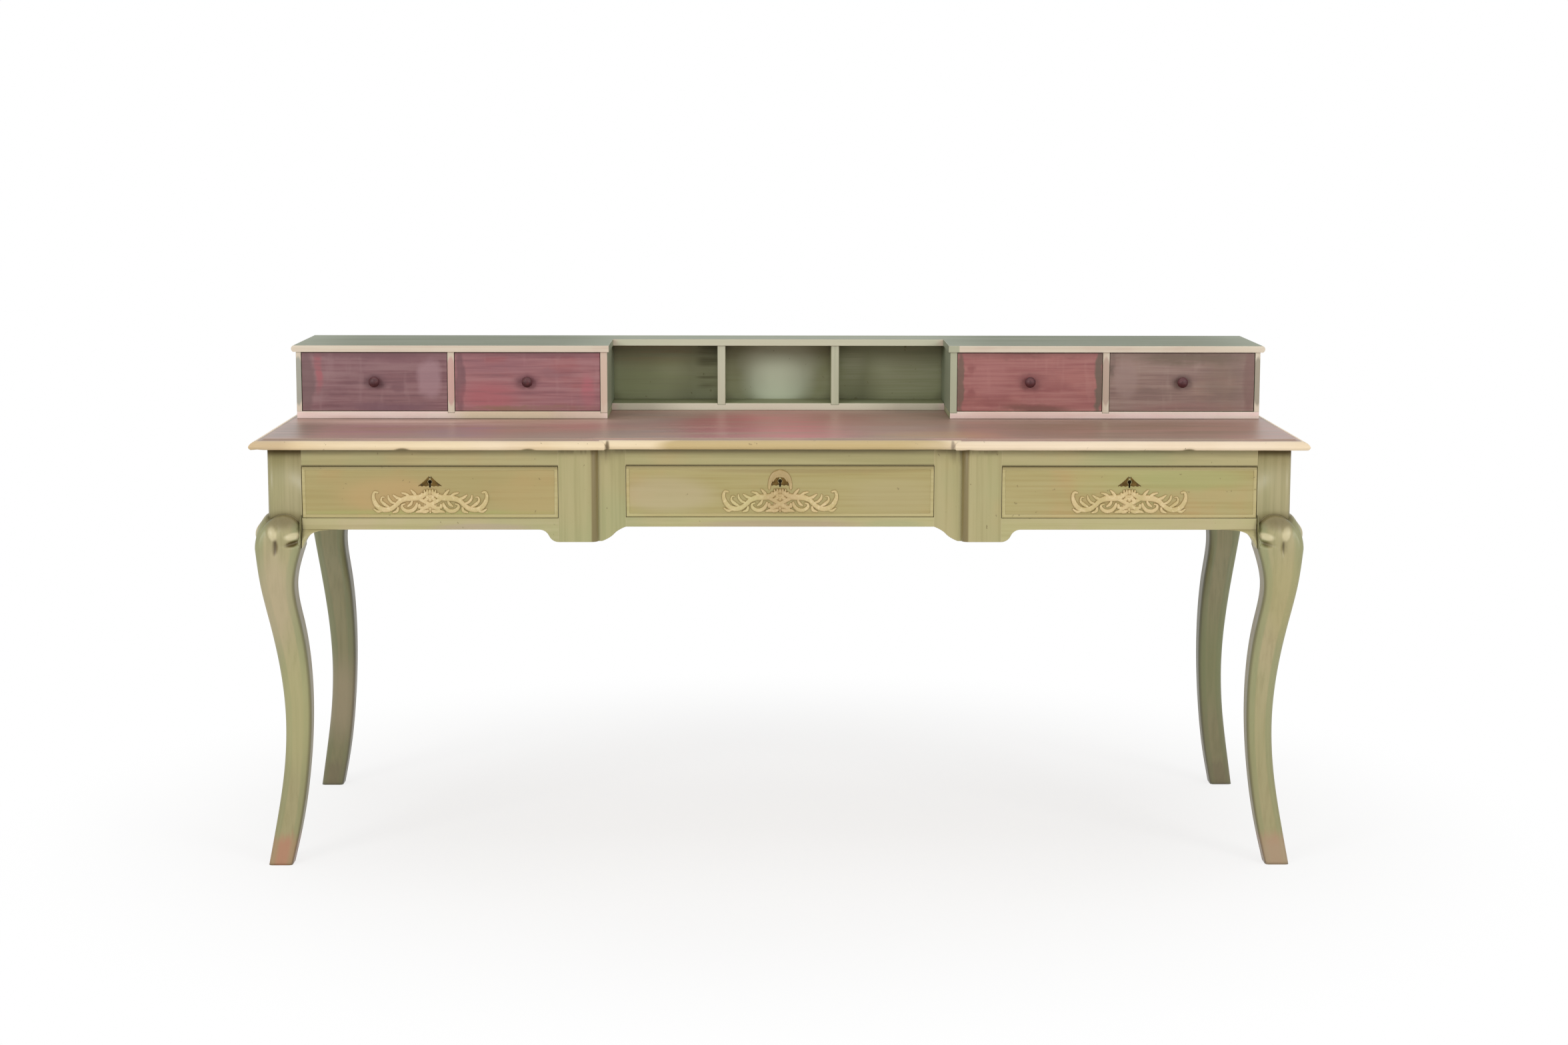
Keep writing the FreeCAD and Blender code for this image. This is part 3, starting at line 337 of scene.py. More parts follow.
nosingCream = dict(
    base=(238, 216, 178), second=(232, 208, 168), warm=(224, 194, 148), cool=(234, 212, 188),
    light=(246, 228, 194), dark=(206, 180, 130), edge=(240, 220, 186), dirt=(128, 104, 62),
    blotch=5.0, warmth=0.6, coolness=0.6, streak=0.22, arris=1.5, rub=0.45, wax=0.6,
    rough=0.42, coat=0.15, shift=(0, 3, 0), cap=(168, 132, 116), capSecond=(150, 124, 106), patches=[
        onNosing((192, 167, 112), 0.045, 0.255, high=0.05, amount=0.88, soft=0.08, y=-0.333),
        # painted shade in the mitres at the break of the front
        onNosing((104, 84, 46), 0.3005, 0.0036, deep=0.016),
        onNosing((104, 84, 46), -0.3005, 0.0036, deep=0.016),
        onNosing((246, 226, 204), 0.6, 0.32, high=0.05, amount=0.5, soft=0.3),
        onNosing((176, 150, 112), -0.9, 0.05, amount=0.45, y=-0.33, deep=0.06),
        onNosing((112, 92, 54), -0.655, 0.012, 0.742, 0.0035, 0.8, y=-0.34),
        onNosing((126, 106, 64), -0.437, 0.011, 0.742, 0.003, 0.7, y=-0.34),
        onNosing((126, 106, 64), 0.71, 0.010, 0.742, 0.003, 0.7, y=-0.34)])
topMauve = dict(
    base=(166, 126, 112), second=(152, 124, 112), warm=(178, 124, 116), cool=(148, 134, 116),
    light=(180, 146, 132), dark=(132, 100, 90), edge=(186, 158, 138), dirt=(92, 74, 62),
    blotch=3.4, warmth=0.7, coolness=0.6, streak=0.24, arris=1.5, rub=0.4, wax=0.35,
    rough=0.36, coat=0.15, sheen=0.3, shift=(0, 0, 5), patches=[
        onTop((202, 112, 116), 0.0, -0.12, 0.13, 0.3, 0.9),
        onTop((158, 86, 88), -0.12, -0.16, 0.08, 0.2, 0.8),
        onTop((146, 122, 118), -0.25, -0.1, 0.07, 0.3, 0.6),
        onTop((172, 118, 126), -0.72, -0.2, 0.09, 0.2, 0.6),
        onTop((156, 120, 138), -0.57, -0.2, 0.06, 0.2, 0.6),
        onTop((122, 102, 90), -0.86, -0.22, 0.04, 0.2, 0.6),
        onTop((220, 186, 170), -0.6, 0.0, 0.27, 0.09, 0.9),
        onTop((184, 146, 108), 0.28, -0.27, 0.1, 0.07, 0.8),
        onTop((176, 144, 132), 0.18, -0.1, 0.1, 0.12, 0.6),
        onTop((134, 107, 82), 0.62, -0.2, 0.2, 0.3, 0.7),
        # painted shadow on the top along the foot of the gallery
        onTop((92, 68, 56), -0.606, 0.011, 0.29, 0.008, 0.9, 0.4),
        onTop((92, 68, 56), 0.606, 0.011, 0.29, 0.008, 0.9, 0.4)])
sage = dict(
    base=(136, 144, 120), second=(144, 150, 126), warm=(148, 148, 118), cool=(126, 138, 114),
    light=(156, 164, 142), dark=(114, 120, 94), edge=(206, 202, 176), dirt=(96, 98, 66),
    blotch=6.0, warmth=0.5, coolness=0.5, streak=0.24, arris=2.0, rub=0.6, wax=0.5,
    rough=0.46, coat=0.1, shift=(3, 3, 3),
    patches=[patch((92, 100, 70), (0.6, 0.14, 0.895), (0.27, 0.3, 0.008), 0.8, 0.3, both=True)])
insideOlive = dict(
    sage, base=(160, 162, 125), second=(152, 156, 116), cool=(162, 170, 137), light=(174, 178, 143),
    dark=(128, 130, 92), dirt=(100, 96, 56), wax=0.55, rough=0.5, streak=0.14, patches=[
        # on the pigeonhole backs: the pale middle of the centre one is a painted pool of light, the dark band
        # at -0.135 a painted shadow by the divider
        onBack((206, 214, 188), 0.0, 0.806, 0.066, 0.05, 0.85, 0.3),
        onBack((202, 208, 182), 0.004, 0.846, 0.075, 0.045, 0.75, 0.3),
        onBack((168, 152, 118), -0.25, 0.868, 0.09, 0.03),
        onBack((160, 166, 122), -0.24, 0.81, 0.08, 0.04),
        onBack((96, 92, 56), -0.135, 0.83, 0.022, 0.08),
        onBack((192, 194, 164), 0.145, 0.85, 0.022, 0.04, 0.6, 0.6),
        onBack((178, 178, 146), 0.25, 0.83, 0.07, 0.05, 0.6)])
creamEdge = dict(
    base=(226, 212, 190), second=(222, 204, 184), light=(238, 230, 210), warm=(220, 190, 172),
    edge=(234, 226, 206), patches=[
        onBoardEdge((212, 216, 188), 0, 0.316, 0.85, 0.03),
        onBoardEdge((222, 198, 178), -0.3245, 0.0104, 0.8, 0.1, high=0.046),
        onBoardEdge((178, 184, 156), 0.3245, 0.0104, 0.85, 0.1),
        onBoardEdge((212, 168, 160), -0.6078, 0.009, 0.8, 0.1, high=0.046),
        onBoardEdge((192, 166, 150), 0.6078, 0.009, 0.8, 0.1, high=0.046),
        onBoardEdge((164, 166, 154), -0.89, 0.009, 0.85, 0.1, high=0.046),
        onBoardEdge((158, 150, 132), 0.89, 0.009, 0.85, 0.1, high=0.046)])
pinkEdge = dict(creamEdge, base=(255, 230, 222), second=(252, 222, 214), warm=(242, 204, 192), patches=[
    onBoardEdge((212, 216, 188), 0, 0.316, 0.7, 0.03, z=0.77),
    onBoardEdge((226, 208, 174), -0.5, 0.1, 0.85, 0.3, z=0.77),
    onBoardEdge((222, 202, 178), -0.37, 0.05, 0.7, 0.3, z=0.77)])
postEdge = dict(creamEdge, base=(204, 206, 180), second=(196, 200, 172), light=(224, 224, 200),
                warm=(206, 196, 172), edge=(222, 220, 196), patches=[])


def twoToned(name, inside, front, grain):
    # boards whose front edges, facing -Y, are picked out in a lighter colour
    f = Finish(name)
    brush = f.noise(grain, 4, 0.6)
    sweep = f.noise(scaled(grain, 1, 0.16), 3, 0.55, (2, 2, 2))
    blotch = f.noise((9, 9, 9), 3, 0.55)
    body = f.layered(f.ground(sweep, 0.38, 0.62, inside["base"], inside["second"]),
                     (blotch, 0.48, 0.66, 0.5, inside["cool"]),
                     (brush, *lightStreak, 0.3, inside["light"]),
                     (brush, *darkStreak, 0.3, inside["dark"]))
    edge = f.layered(f.ground(blotch, 0.42, 0.62, front["base"], front["second"]),
                     (brush, 0.42, 0.62, 0.4, front["light"]),
                     (sweep, 0.54, 0.68, 0.5, front["warm"]))
    facing = f.vectors("DOT_PRODUCT", f.normal(), (0, -1, 0), out="Value")
    tone = f.mixed(f.between(facing, 0.45, 0.7), f.patched(body, inside["patches"]),
                   f.patched(edge, front["patches"]))
    tone = f.layered(tone, (f.edges(1.8) + blotch.swing(0.25), *arrisWear, 0.4, front["edge"]))
    # painted shade in the corners
    wax = f.crevices(0.03) + sweep.swing(0.3)
    tone = f.layered(tone, (wax, 0.34, 0.85, inside["wax"], inside["dirt"]), way="MULTIPLY")
    rough = f.roughness(brush, inside["rough"] - 0.05, inside["rough"] + 0.1)
    return f.finished(tone, rough, brush, 0.0004, 0.3, Coat_Weight=0.04, Coat_Roughness=0.35,
                      Specular_IOR_Level=0.3)


def drawerWash(name, wash):
    # streaky milk-paint wash over a coarse-grained board
    f = Finish(name)
    brush = f.noise((5, 170, 170), 4, 0.62, wash["shift"])
    figure = f.noise((7, 30, 42), 4, 0.6, wash["shift"])
    cloud = f.noise((14, 14, 20), 3, 0.55, wash["shift"])
    cross = f.noise((60, 60, 12), 2, 0.5, wash["shift"])
    tone = f.layered(f.ground(figure, 0.36, 0.64, wash["base"], wash["second"]),
                     (cloud, 0.50, 0.68, 0.8, wash["warm"]),
                     (brush, 0.44, 0.64, 0.45, wash["light"]),
                     (brush, 0.50, 0.28, 0.5, wash["dark"]),
                     (cross, 0.56, 0.72, 0.25, wash["light"]))
    stirred = f.wandering(f.wandering(f.place, 0.018, 22.0), 0.007, 90.0)
    tone = f.patched(tone, wash["patches"], f.hold(figure, brush, 0.4), stirred)
    # painted shade in the reveal under the top board
    tone = f.patched(tone, [patch((84, 50, 46), (0, 0.02, 0.8845), (4, 4, 0.003), 0.8, 0.3)])
    tone = f.layered(tone, (f.edges(1.6) + cloud.swing(0.3), 0.05, 0.22, 0.55, wash["edge"]))
    tone = f.bareBehind(tone, figure)
    # painted shade in the corners
    tone = f.layered(tone, (f.crevices(0.014), 0.36, 0.8, 0.5, (92, 62, 52)), way="MULTIPLY")
    return f.finished(tone, f.roughness(brush, 0.40, 0.56), brush * 0.6 + figure * 0.5, 0.0006, 0.4,
                      Coat_Weight=0.15, Coat_Roughness=0.35)


# the dark smear on each face where its knob stands is a painted shadow of the knob
washes = {
    1: dict(base=(133, 92, 96), second=(140, 103, 105), warm=(122, 82, 87), light=(162, 129, 130),
        dark=(100, 68, 74), edge=(184, 150, 142), shift=(0, 0, 0), patches=[
        smear((114, 86, 86), -873, 829, 12, 60, 0.7, 0.3), smear((170, 92, 98), -852, 850, 7, 32, 0.75, 0.5),
        smear((114, 76, 82), -760, 880, 110, 8, 0.7), smear((170, 136, 141), -649, 835, 21, 36, 0.7, 0.3),
        smear((112, 76, 88), -725, 781, 85, 9), smear((88, 50, 58), -747, 829, 20, 13, 0.75, 0.5),
        smear((108, 68, 76), -708, 820, 14, 8, 0.6, 0.5), smear((126, 84, 92), -690, 871, 60, 7, 0.5)]),
    2: dict(base=(154, 104, 109), second=(162, 108, 110), warm=(160, 96, 98), light=(180, 136, 136),
        dark=(114, 72, 78), edge=(190, 146, 136), shift=(5, 2, 1), patches=[
        smear((112, 76, 82), -592, 829, 9, 60, 0.7, 0.3), smear((120, 78, 84), -466, 879, 125, 7, 0.7),
        smear((174, 98, 104), -535, 803, 50, 25, 0.75), smear((140, 108, 84), -450, 779, 112, 5.5, 0.8),
        smear((184, 104, 114), -352, 808, 13, 30, 0.75), smear((134, 90, 97), -414, 844, 36, 10, 0.5),
        smear((108, 60, 70), -468, 829, 22, 12, 0.75, 0.5), smear((146, 96, 104), -520, 862, 60, 6, 0.5)]),
    3: dict(base=(166, 106, 102), second=(160, 98, 96), warm=(174, 112, 106), light=(186, 134, 126),
        dark=(126, 74, 70), edge=(196, 150, 136), shift=(9, 4, 3), patches=[
        smear((114, 92, 78), 336, 829, 6.5, 60, 0.85, 0.3), smear((104, 94, 80), 596, 829, 7, 60, 0.85, 0.3),
        smear((120, 72, 68), 470, 879, 112, 7, 0.75), smear((112, 72, 62), 478, 780, 60, 7.5, 0.75),
        smear((178, 120, 116), 392, 838, 30, 34, 0.5), smear((136, 72, 72), 356, 852, 8, 10, 0.6, 0.5),
        smear((136, 72, 72), 356, 806, 8, 9, 0.6, 0.5), smear((122, 66, 68), 470, 829, 23, 14, 0.75, 0.5),
        smear((144, 80, 80), 515, 821, 27, 9, 0.65), smear((144, 84, 80), 400, 790, 60, 6, 0.5)]),
    4: dict(base=(150, 122, 112), second=(142, 114, 106), warm=(154, 124, 110), light=(172, 150, 138),
        dark=(108, 82, 76), edge=(186, 160, 144), shift=(2, 7, 6), patches=[
        smear((110, 94, 76), 752, 874, 110, 13, 0.75), smear((104, 86, 74), 620, 862, 6, 26, 0.7),
        smear((126, 92, 86), 874, 829, 11, 60, 0.7, 0.3), smear((148, 106, 100), 762, 782, 105, 9, 0.55),
        smear((162, 136, 128), 648, 836, 22, 38, 0.6, 0.3), smear((84, 60, 56), 749, 829, 17, 14, 0.7, 0.5),
        smear((120, 98, 88), 700, 812, 40, 5, 0.5), smear((118, 100, 86), 828, 829, 44, 50, 0.5, 0.6)]),
}


def bareWood(name, grain, tints):
    f = Finish(name)
    rings = f.noise(scaled(grain, 1, 0.35), 4, 0.6)
    pores = f.noise(scaled(grain, 3, 5), 2, 0.6)
    stain = f.noise((5, 5, 5), 3, 0.6)
    tone = f.layered(f.ground(rings, 0.36, 0.64, tints[0], tints[1]),
                     (pores, 0.56, 0.68, 0.5, tints[2]),
                     (stain, 0.5, 0.7, 0.35, tints[2]))
    # painted shade in the corners
    tone = f.layered(tone, (f.crevices(0.02), 0.35, 0.9, 0.5, (120, 92, 60)), way="MULTIPLY")
    return f.finished(tone, f.between(pores, 0.4, 0.7, 0.62, 0.78), rings + pores * 0.5, 0.0004, 0.4)


def wornMetal(name, tints, shine):
    f = Finish(name)
    patina = f.noise((120, 120, 120), 4, 0.6)
    scratch = f.noise((40, 900, 900), 2, 0.5)
    # worn lighter at the arrises, with painted shade, nearly black, in holes and corners
    tone = f.layered(f.ground(patina, 0.36, 0.66, tints[0], tints[1]),
                     (f.edges(0.8), 0.08, 0.3, 0.5, tints[2]),
                     (f.crevices(0.012), 0.35, 0.7, 0.92, (30, 22, 12)))
    rough = f.roughness(patina, shine, shine + 0.22)
    return f.finished(tone, rough, patina * 0.7 + scratch * 0.3, 0.0002, 0.3, Metallic=0.85)


def giltCarving(name):
    # cream-gold composition ornament, with painted shade in its hollows
    f = Finish(name)
    worn = f.noise((160, 160, 160), 3, 0.6)
    cloud = f.noise((26, 26, 26), 3, 0.55)
    tone = f.layered(f.ground(cloud, 0.4, 0.62, (212, 188, 136), (200, 180, 124)),
                     (worn, 0.50, 0.66, 0.6, (228, 206, 158)))
    tone = f.patched(tone, [patch((184, 156, 108), (0.0, -0.31, 0.652), (0.034, 0.1, 0.03), 0.6, 0.5),
                            patch((166, 140, 92), (0.0, -0.31, 0.690), (0.026, 0.1, 0.02), 0.75, 0.4),
                            patch((190, 184, 122), (-0.06, -0.31, 0.645), (0.03, 0.1, 0.02), 0.5, 0.5)])
    tone = f.layered(tone, (f.stored("hollowShade") + worn.swing(0.3), 0.22, 0.75, 0.85, (148, 120, 68)))
    return f.finished(tone, f.roughness(worn, 0.34, 0.5), worn, 0.0003, 0.3,
                      Coat_Weight=0.2, Coat_Roughness=0.3)


def legFinish(name, paint):
    # upright-grained paint, greener at the arrises, rubbed to a pink ground at the feet
    f = Finish(name)
    brush = f.noise(grainUpright, 4, 0.6)
    sweep = f.noise((26, 26, 2.2), 3, 0.55)
    blotch = f.noise((7, 7, 4), 3, 0.55)
    arris = f.stored("arris")
    height = f.axis(f.place, "Z")
    tone = f.layered(f.ground(sweep, 0.36, 0.64, paint["base"], paint["second"]),
                     (blotch, 0.5, 0.68, 0.5, paint["warm"]),
                     (brush, *lightStreak, 0.35, paint["light"]),
                     (brush, *darkStreak, 0.28, paint["dark"]),
                     (arris + blotch.swing(0.4), 0.35, 0.9, 0.6, paint["cool"]),
                     # painted shade in the knee's slits and ledge, and a painted highlight on its raised
                     # lobes
                     (f.stored("hollowShade") + sweep.swing(0.2), 0.10, 0.8, 0.95, (98, 84, 44)),
                     (f.stored("proud"), 0.25, 0.95, 0.7, (222, 210, 168)),
                     (height + blotch.swing(0.2), 0.36, 0.10, 0.4, paint["dark"]))
    foot = f.between(height + brush.swing(0.03), 0.062, 0.038)
    tone = f.mixed(foot * (1 - arris * 0.45) * paint["footAmount"], tone, linear(paint["foot"]))
    tone = f.patched(tone, paint["patches"])
    # painted shade on the sides that face the kneehole and in the corners
    inner = f.axis(f.normal(), "X") * f.axis(f.place, "X") * -1.16
    tone = f.layered(tone, (inner, 0.45, 0.9, 0.75, (176, 166, 150)),
                     (f.crevices(0.025), 0.32, 0.85, 0.3, paint["dirt"]), way="MULTIPLY")
    return f.finished(tone, f.roughness(brush, 0.38, 0.52), brush, 0.0004, 0.3,
                      Coat_Weight=0.18, Coat_Roughness=0.32)


def knobFinish(name):
    f = Finish(name)
    turned = f.noise((60, 400, 60), 3, 0.6)
    worn = f.noise((90, 90, 90), 3, 0.6)
    tone = f.layered(f.ground(turned, 0.4, 0.62, (92, 44, 48), (72, 32, 37)),
                     (worn, 0.55, 0.7, 0.5, (116, 66, 64)))
    return f.finished(tone, f.roughness(worn, 0.46, 0.62), turned, 0.0002, 0.2,
                      Coat_Weight=0.1, Coat_Roughness=0.4)


pineTints = ((196, 164, 116), (180, 144, 96), (138, 104, 66))
finish = {}
for maker, wanted in (
    (paintedWood, {
        "carcassAcross": (olive, grainAcross), "carcassUpright": (uprightOlive, grainUpright),
        "carcassDeep": (olive, grainDeep), "lowerRail": (railOlive, grainAcross),
        "drawerFront": (drawerOlive, grainAcross), "cockBead": (beadOliveLit, grainAcross),
        "nosing": (nosingCream, grainAcross), "writingTop": (topMauve, grainAcross),
        "galleryInside": (insideOlive, grainAcross)}),
    (twoToned, {
        "galleryTop": (sage, creamEdge, grainAcross), "galleryBase": (insideOlive, pinkEdge, grainAcross),
        "galleryUpright": (sage, creamEdge, grainUpright),
        "pigeonholePost": (insideOlive, postEdge, grainUpright)}),
    (legFinish, {"legFront": (legPaint,), "legRear": (rearPaintShaded,)}),
    (bareWood, {"pineAcross": (grainAcross, pineTints), "pineDeep": (grainDeep, pineTints)}),
    (wornMetal, {
        "brass": (((176, 142, 78), (142, 108, 56), (214, 184, 118)), 0.28),
        "iron": (((86, 74, 56), (62, 52, 40), (126, 112, 84)), 0.42),
        "darkBronze": (((112, 88, 44), (84, 64, 30), (150, 124, 72)), 0.4)}),
    (giltCarving, {"gilt": ()}),
    (knobFinish, {"knob": ()}),
    (drawerWash, {f"wash{number}": (wash,) for number, wash in washes.items()}),
):
    for name, values in wanted.items():
        finish[name] = maker(name, *values)


def linked(name, data, paint=None):
    obj = bpy.data.objects.new(name, data)
    bpy.context.scene.collection.objects.link(obj)
    if paint:
        data.materials.append(finish[paint])
    return obj


def smoothed(mesh):
    mesh.polygons.foreach_set("use_smooth", [True] * len(mesh.polygons))


def newPiece(name, points, faces, paint):
    mesh = bpy.data.meshes.new(name)
    mesh.from_pydata([tuple(p) for p in points], [], faces)
    mesh.update()
    smoothed(mesh)
    return linked(name, mesh, paint)


def handIn(piece, body, replaced=None):
    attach(piece, body)
    if replaced:
        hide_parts(replaced)


def storeValue(obj, name, values):
    layer = obj.data.attributes.new(name, "FLOAT", "POINT")
    layer.data.foreach_set("value", np.asarray(values, np.float32))


def ringFaces(starts, order):
    # quads from each ring of points to the next; starts are the rings' first points
    faces = []
    for here, there in zip(starts, starts[1:]):
        for a, b in zip(order, order[1:] + order[:1]):
            faces.append((here + a, here + b, there + b, there + a))
    return faces


sections = ("left", "centre", "right")
sides = ("left", "right")

print("stage: legs")

# cabriole leg, millimetres; each row is height, reach outside the carcass corner, depth inside it
leg = {
    "profile": [(0, 11.5, 30.5), (60.1, 1, 43.5), (150.3, -12.6, 57), (255.2, -18.4, 64.3),
                (345.9, -11.8, 63), (430.9, 2, 53.5), (504.6, 15.5, 45), (567, 22, 59)],
    "round": 11, "footRound": 7, "footUp": 160, "halfWidth": 894, "halfDepth": 318, "post": 60,
    "postRound": 11, "shoulder": 59, "shoulderOut": (12, 28), "shoulderIn": (44, 44), "top": 742,
    "around": 30, "levels": 90, "kneeLevels": 70, "quirk": 0.8, "ankleTop": 500, "joint": 0.8,
    # how far a face has to be turned outwards to be carved, and how fast the carving grows from there
    "facing": 0.35, "facingFade": 0.5,
    # the ledge starts at this angle of the shoulder; its painted shade, and how much of the slits' painted
    # shade the right leg keeps
    "ledgeAngle": 1.3, "ledgeShade": 0.4, "rightShade": 0.45, "sunkFull": 6, "proudFull": 3.2,
    # shoulder: reach of its fall to either side, and the faces that stay level
    "shoulderReach": (-40, 44), "levelBelow": -0.2,
    # the quirk under the post: rise, inset and shade of each ring
    "quirkRings": [(1.6, 0.8, 0.5), (2.4, 0, 0.15), (None, 0, 0)], "postArris": 0.4,
}


def curveThrough(heights, values):
    # natural cubic spline
    x, y = np.array(heights, float), np.array(values, float)
    n = len(x)
    h = np.diff(x)
    a = np.zeros((n, n))
    b = np.zeros(n)
    a[0, 0] = a[-1, -1] = 1
    for i in range(1, n - 1):
        a[i, i - 1], a[i, i], a[i, i + 1] = h[i - 1], 2 * (h[i - 1] + h[i]), h[i]
        b[i] = 6 * ((y[i + 1] - y[i]) / h[i] - (y[i] - y[i - 1]) / h[i - 1])
    m = np.linalg.solve(a, b)

    def value(at):
        i = int(np.clip(np.searchsorted(x, at) - 1, 0, n - 2))
        p, q = x[i + 1] - at, at - x[i]
        return (m[i] * p ** 3 + m[i + 1] * q ** 3) / (6 * h[i]) + \
            (y[i] / h[i] - m[i] * h[i] / 6) * p + (y[i + 1] / h[i] - m[i + 1] * h[i] / 6) * q
    return value


def softSquare(low, high, outer, inner, perSide):
    # outline of a square with rounded corners, anticlockwise from the -Y face; the +X +Y corner
    # has the outer radius, the rest the inner one; returns points, outward normals, and how
    # close each point is to an arris
    mid, half = (low + high) / 2, (high - low) / 2
    points, normals, arris = [], [], []
    corner = perSide // 3
    radii = [min(r, half * 0.95) for r in (inner, outer, inner, inner)]
    for side in range(4):
        turn = side * math.pi / 2
        c, s = math.cos(turn), math.sin(turn)
        before, radius = radii[side - 1], radii[side]
        local = []
        for i in range(perSide - corner):
            eased = math.sin((i / (perSide - corner) - 0.5) * math.pi)
            along = (eased + 1) / 2
            x = (before - half) * (1 - along) + (half - radius) * along
            local.append((x, -half, 0, -1, max(0, abs(eased) - 0.5) * 2))
        for i in range(corner):
            angle = -math.pi / 2 + math.pi / 2 * i / corner
            across, up = math.cos(angle), math.sin(angle)
            local.append((half - radius + radius * across, radius - half + radius * up, across, up, 1))
        for x, y, nx, ny, near in local:
            points.append((mid + x * c - y * s, mid + x * s + y * c))
            normals.append((nx * c - ny * s, nx * s + ny * c))
            arris.append(near)
    return np.array(points), np.array(normals), np.array(arris)


def oval(u, z, centre, size, tilt):
    c, s = math.cos(math.radians(tilt)), math.sin(math.radians(tilt))
    du, dz = u - centre[0], z - centre[1]
    a, b = (du * c + dz * s) / size[0], (-du * s + dz * c) / size[1]
    return math.exp(-(a * a + b * b) ** 1.3)


kneeCarving = {
    # each row: middle on the face (from its centre line, height), half sizes, tilt, relief
    "lobes": [((-10, 595), (7.5, 15), 22, 4.2), ((25, 590), (14, 7), 14, 3.8), ((5, 600), (6, 12), 0, 1.2)],
    "slits": [((-4, 571), (3.8, 14), 0, -9.0), ((27, 577), (13, 4.6), 16, -8.0)],
    "flutes": [((-16, 545), (4, 26), 3, -1.4), ((20, 542), (5, 24), -4, -1.4)],
    # middle, half width, relief, top, foot, and how far it fades out at top and foot
    "rib": (5, 4.5, 1.8, 612, 520, 12, 50),
}


def carving(u, z):
    raised, sunk, shallow = (sum(depth * oval(u, z, middle, size, tilt)
                                 for middle, size, tilt, depth in kneeCarving[kind])
                             for kind in ("lobes", "slits", "flutes"))
    centre, width, height, top, low, fadeTop, fadeLow = kneeCarving["rib"]
    fade = min(1, max(0, (z - low) / fadeLow)) * min(1, max(0, (top - z) / fadeTop))
    rib = height * fade * math.exp(-((u - centre) / width) ** 2)
    return raised + sunk + shallow + rib, raised, -sunk


def shoulderRise(u):
    u = float(np.clip(u, *leg["shoulderReach"]))
    fall, half = leg["shoulderOut"] if u < 0 else leg["shoulderIn"]
    return leg["shoulder"] - fall * (u / half) ** 2


def cabrioleLeg(name, handX, handY, carved):
    heights, outRow, inRow = zip(*leg["profile"])
    outLine, inLine = curveThrough(heights, outRow), curveThrough(heights, inRow)
    knee = heights[-1]
    perSide = leg["around"]
    rings, hollowShade, proud, arrisValue = [], [], [], []

    def addRing(low, high, outer, inner, z, angle=None):
        points, normals, near = softSquare(low, high, outer, inner, perSide)
        width = high - low
        rings.append([])
        for (x, y), (nx, ny), edge in zip(points, normals, near):
            # x and y run outwards from the carcass corner; u runs from the outer arris inwards
            u = (high - x) - width / 2 if y >= x else (high - y) - width / 2
            height = z
            if angle is not None:
                reach = shoulderRise(u) if nx + ny > leg["levelBelow"] else leg["shoulder"]
                height = knee + reach * math.sin(angle)
            out = max(nx, ny) - leg["facing"]
            push, up, down = carving(u, height) if carved and out > 0 else (0, 0, 0)
            fade = max(0, min(1, out / leg["facingFade"]))
            rings[-1].append((x + nx * push * fade, y + ny * push * fade, height))
            # painted shade in the ledge and the slits, lighter on the right leg, and a painted highlight
            # where the lobes stand proud
            ledge = leg["ledgeShade"] if angle is not None and angle > leg["ledgeAngle"] else 0
            slits = down * fade / leg["sunkFull"] * (1 if handX < 0 else leg["rightShade"])
            hollowShade.append(min(1, slits + ledge))
            proud.append(min(1, up * fade / leg["proudFull"]))
            arrisValue.append(edge)

    for step in range(leg["levels"]):
        z = leg["ankleTop"] * step / leg["levels"]
        radius = leg["footRound"] + (leg["round"] - leg["footRound"]) * min(1, z / leg["footUp"])
        addRing(-inLine(z), outLine(z), radius, radius, z)
    for step in range(leg["kneeLevels"]):
        z = leg["ankleTop"] + (knee - leg["ankleTop"]) * step / leg["kneeLevels"]
        addRing(-inLine(z), outLine(z), leg["round"], leg["round"], z)
    for step in range(leg["kneeLevels"] + 1):
        angle = math.pi / 2 * step / leg["kneeLevels"]
        out = (outLine(knee) + leg["quirk"]) * math.cos(angle) - leg["quirk"]
        inner = max(leg["joint"], min(leg["round"], out + leg["joint"]))
        addRing(-leg["post"] + 1, out, leg["round"], inner, knee, angle)
    # quirk, then the post
    base = [p[2] for p in rings[-1]]
    for lift, inset, shaded in leg["quirkRings"]:
        points, normals, near = softSquare(-leg["post"], -inset, leg["postRound"], leg["joint"], perSide)
        rings.append([])
        for (x, y), z, edge in zip(points, base, near):
            rings[-1].append((x, y, leg["top"] if lift is None else z + lift))
            hollowShade.append(shaded)
            proud.append(0)
            arrisValue.append(edge * leg["postArris"])
    verts = [(handX * (leg["halfWidth"] + x) * mm, handY * (leg["halfDepth"] + y) * mm, z * mm)
             for ring in rings for x, y, z in ring]
    count = len(rings[0])
    last = len(verts) - count
    faces = ringFaces(range(0, len(verts), count), list(range(count)))
    faces += [tuple(reversed(range(count))), tuple(range(last, last + count))]
    if handX * handY < 0:
        faces = [face[::-1] for face in faces]
    piece = newPiece(name, verts, faces, "legFront" if carved else "legRear")
    for label, values in (("hollowShade", hollowShade), ("proud", proud), ("arris", arrisValue)):
        storeValue(piece, label, values)
    return piece


for handX, side in ((-1, "left"), (1, "right")):
    for handY, end in ((-1, "front"), (1, "rear")):
        piece = cabrioleLeg(f"carvedLeg_{end}_{side}", handX, handY, end == "front")
        handIn(piece, "desk", f"leg_{end}_{side}")

print("stage: ornaments")


def strokeSamples(points, count):
    # Catmull-Rom through (x, z, radius, height)
    pts = np.array([points[0]] + list(points) + [points[-1]], float)
    out = []
    spans = len(points) - 1
    for i in range(spans):
        a, b, c, d = pts[i:i + 4]
        for t in np.linspace(0, 1, max(2, count // spans), endpoint=i == spans - 1):
            out.append(0.5 * ((2 * b) + (c - a) * t + (2 * a - 5 * b + 4 * c - d) * t ** 2 +
                              (3 * b - a - 3 * c + d) * t ** 3))
    return np.array(out)


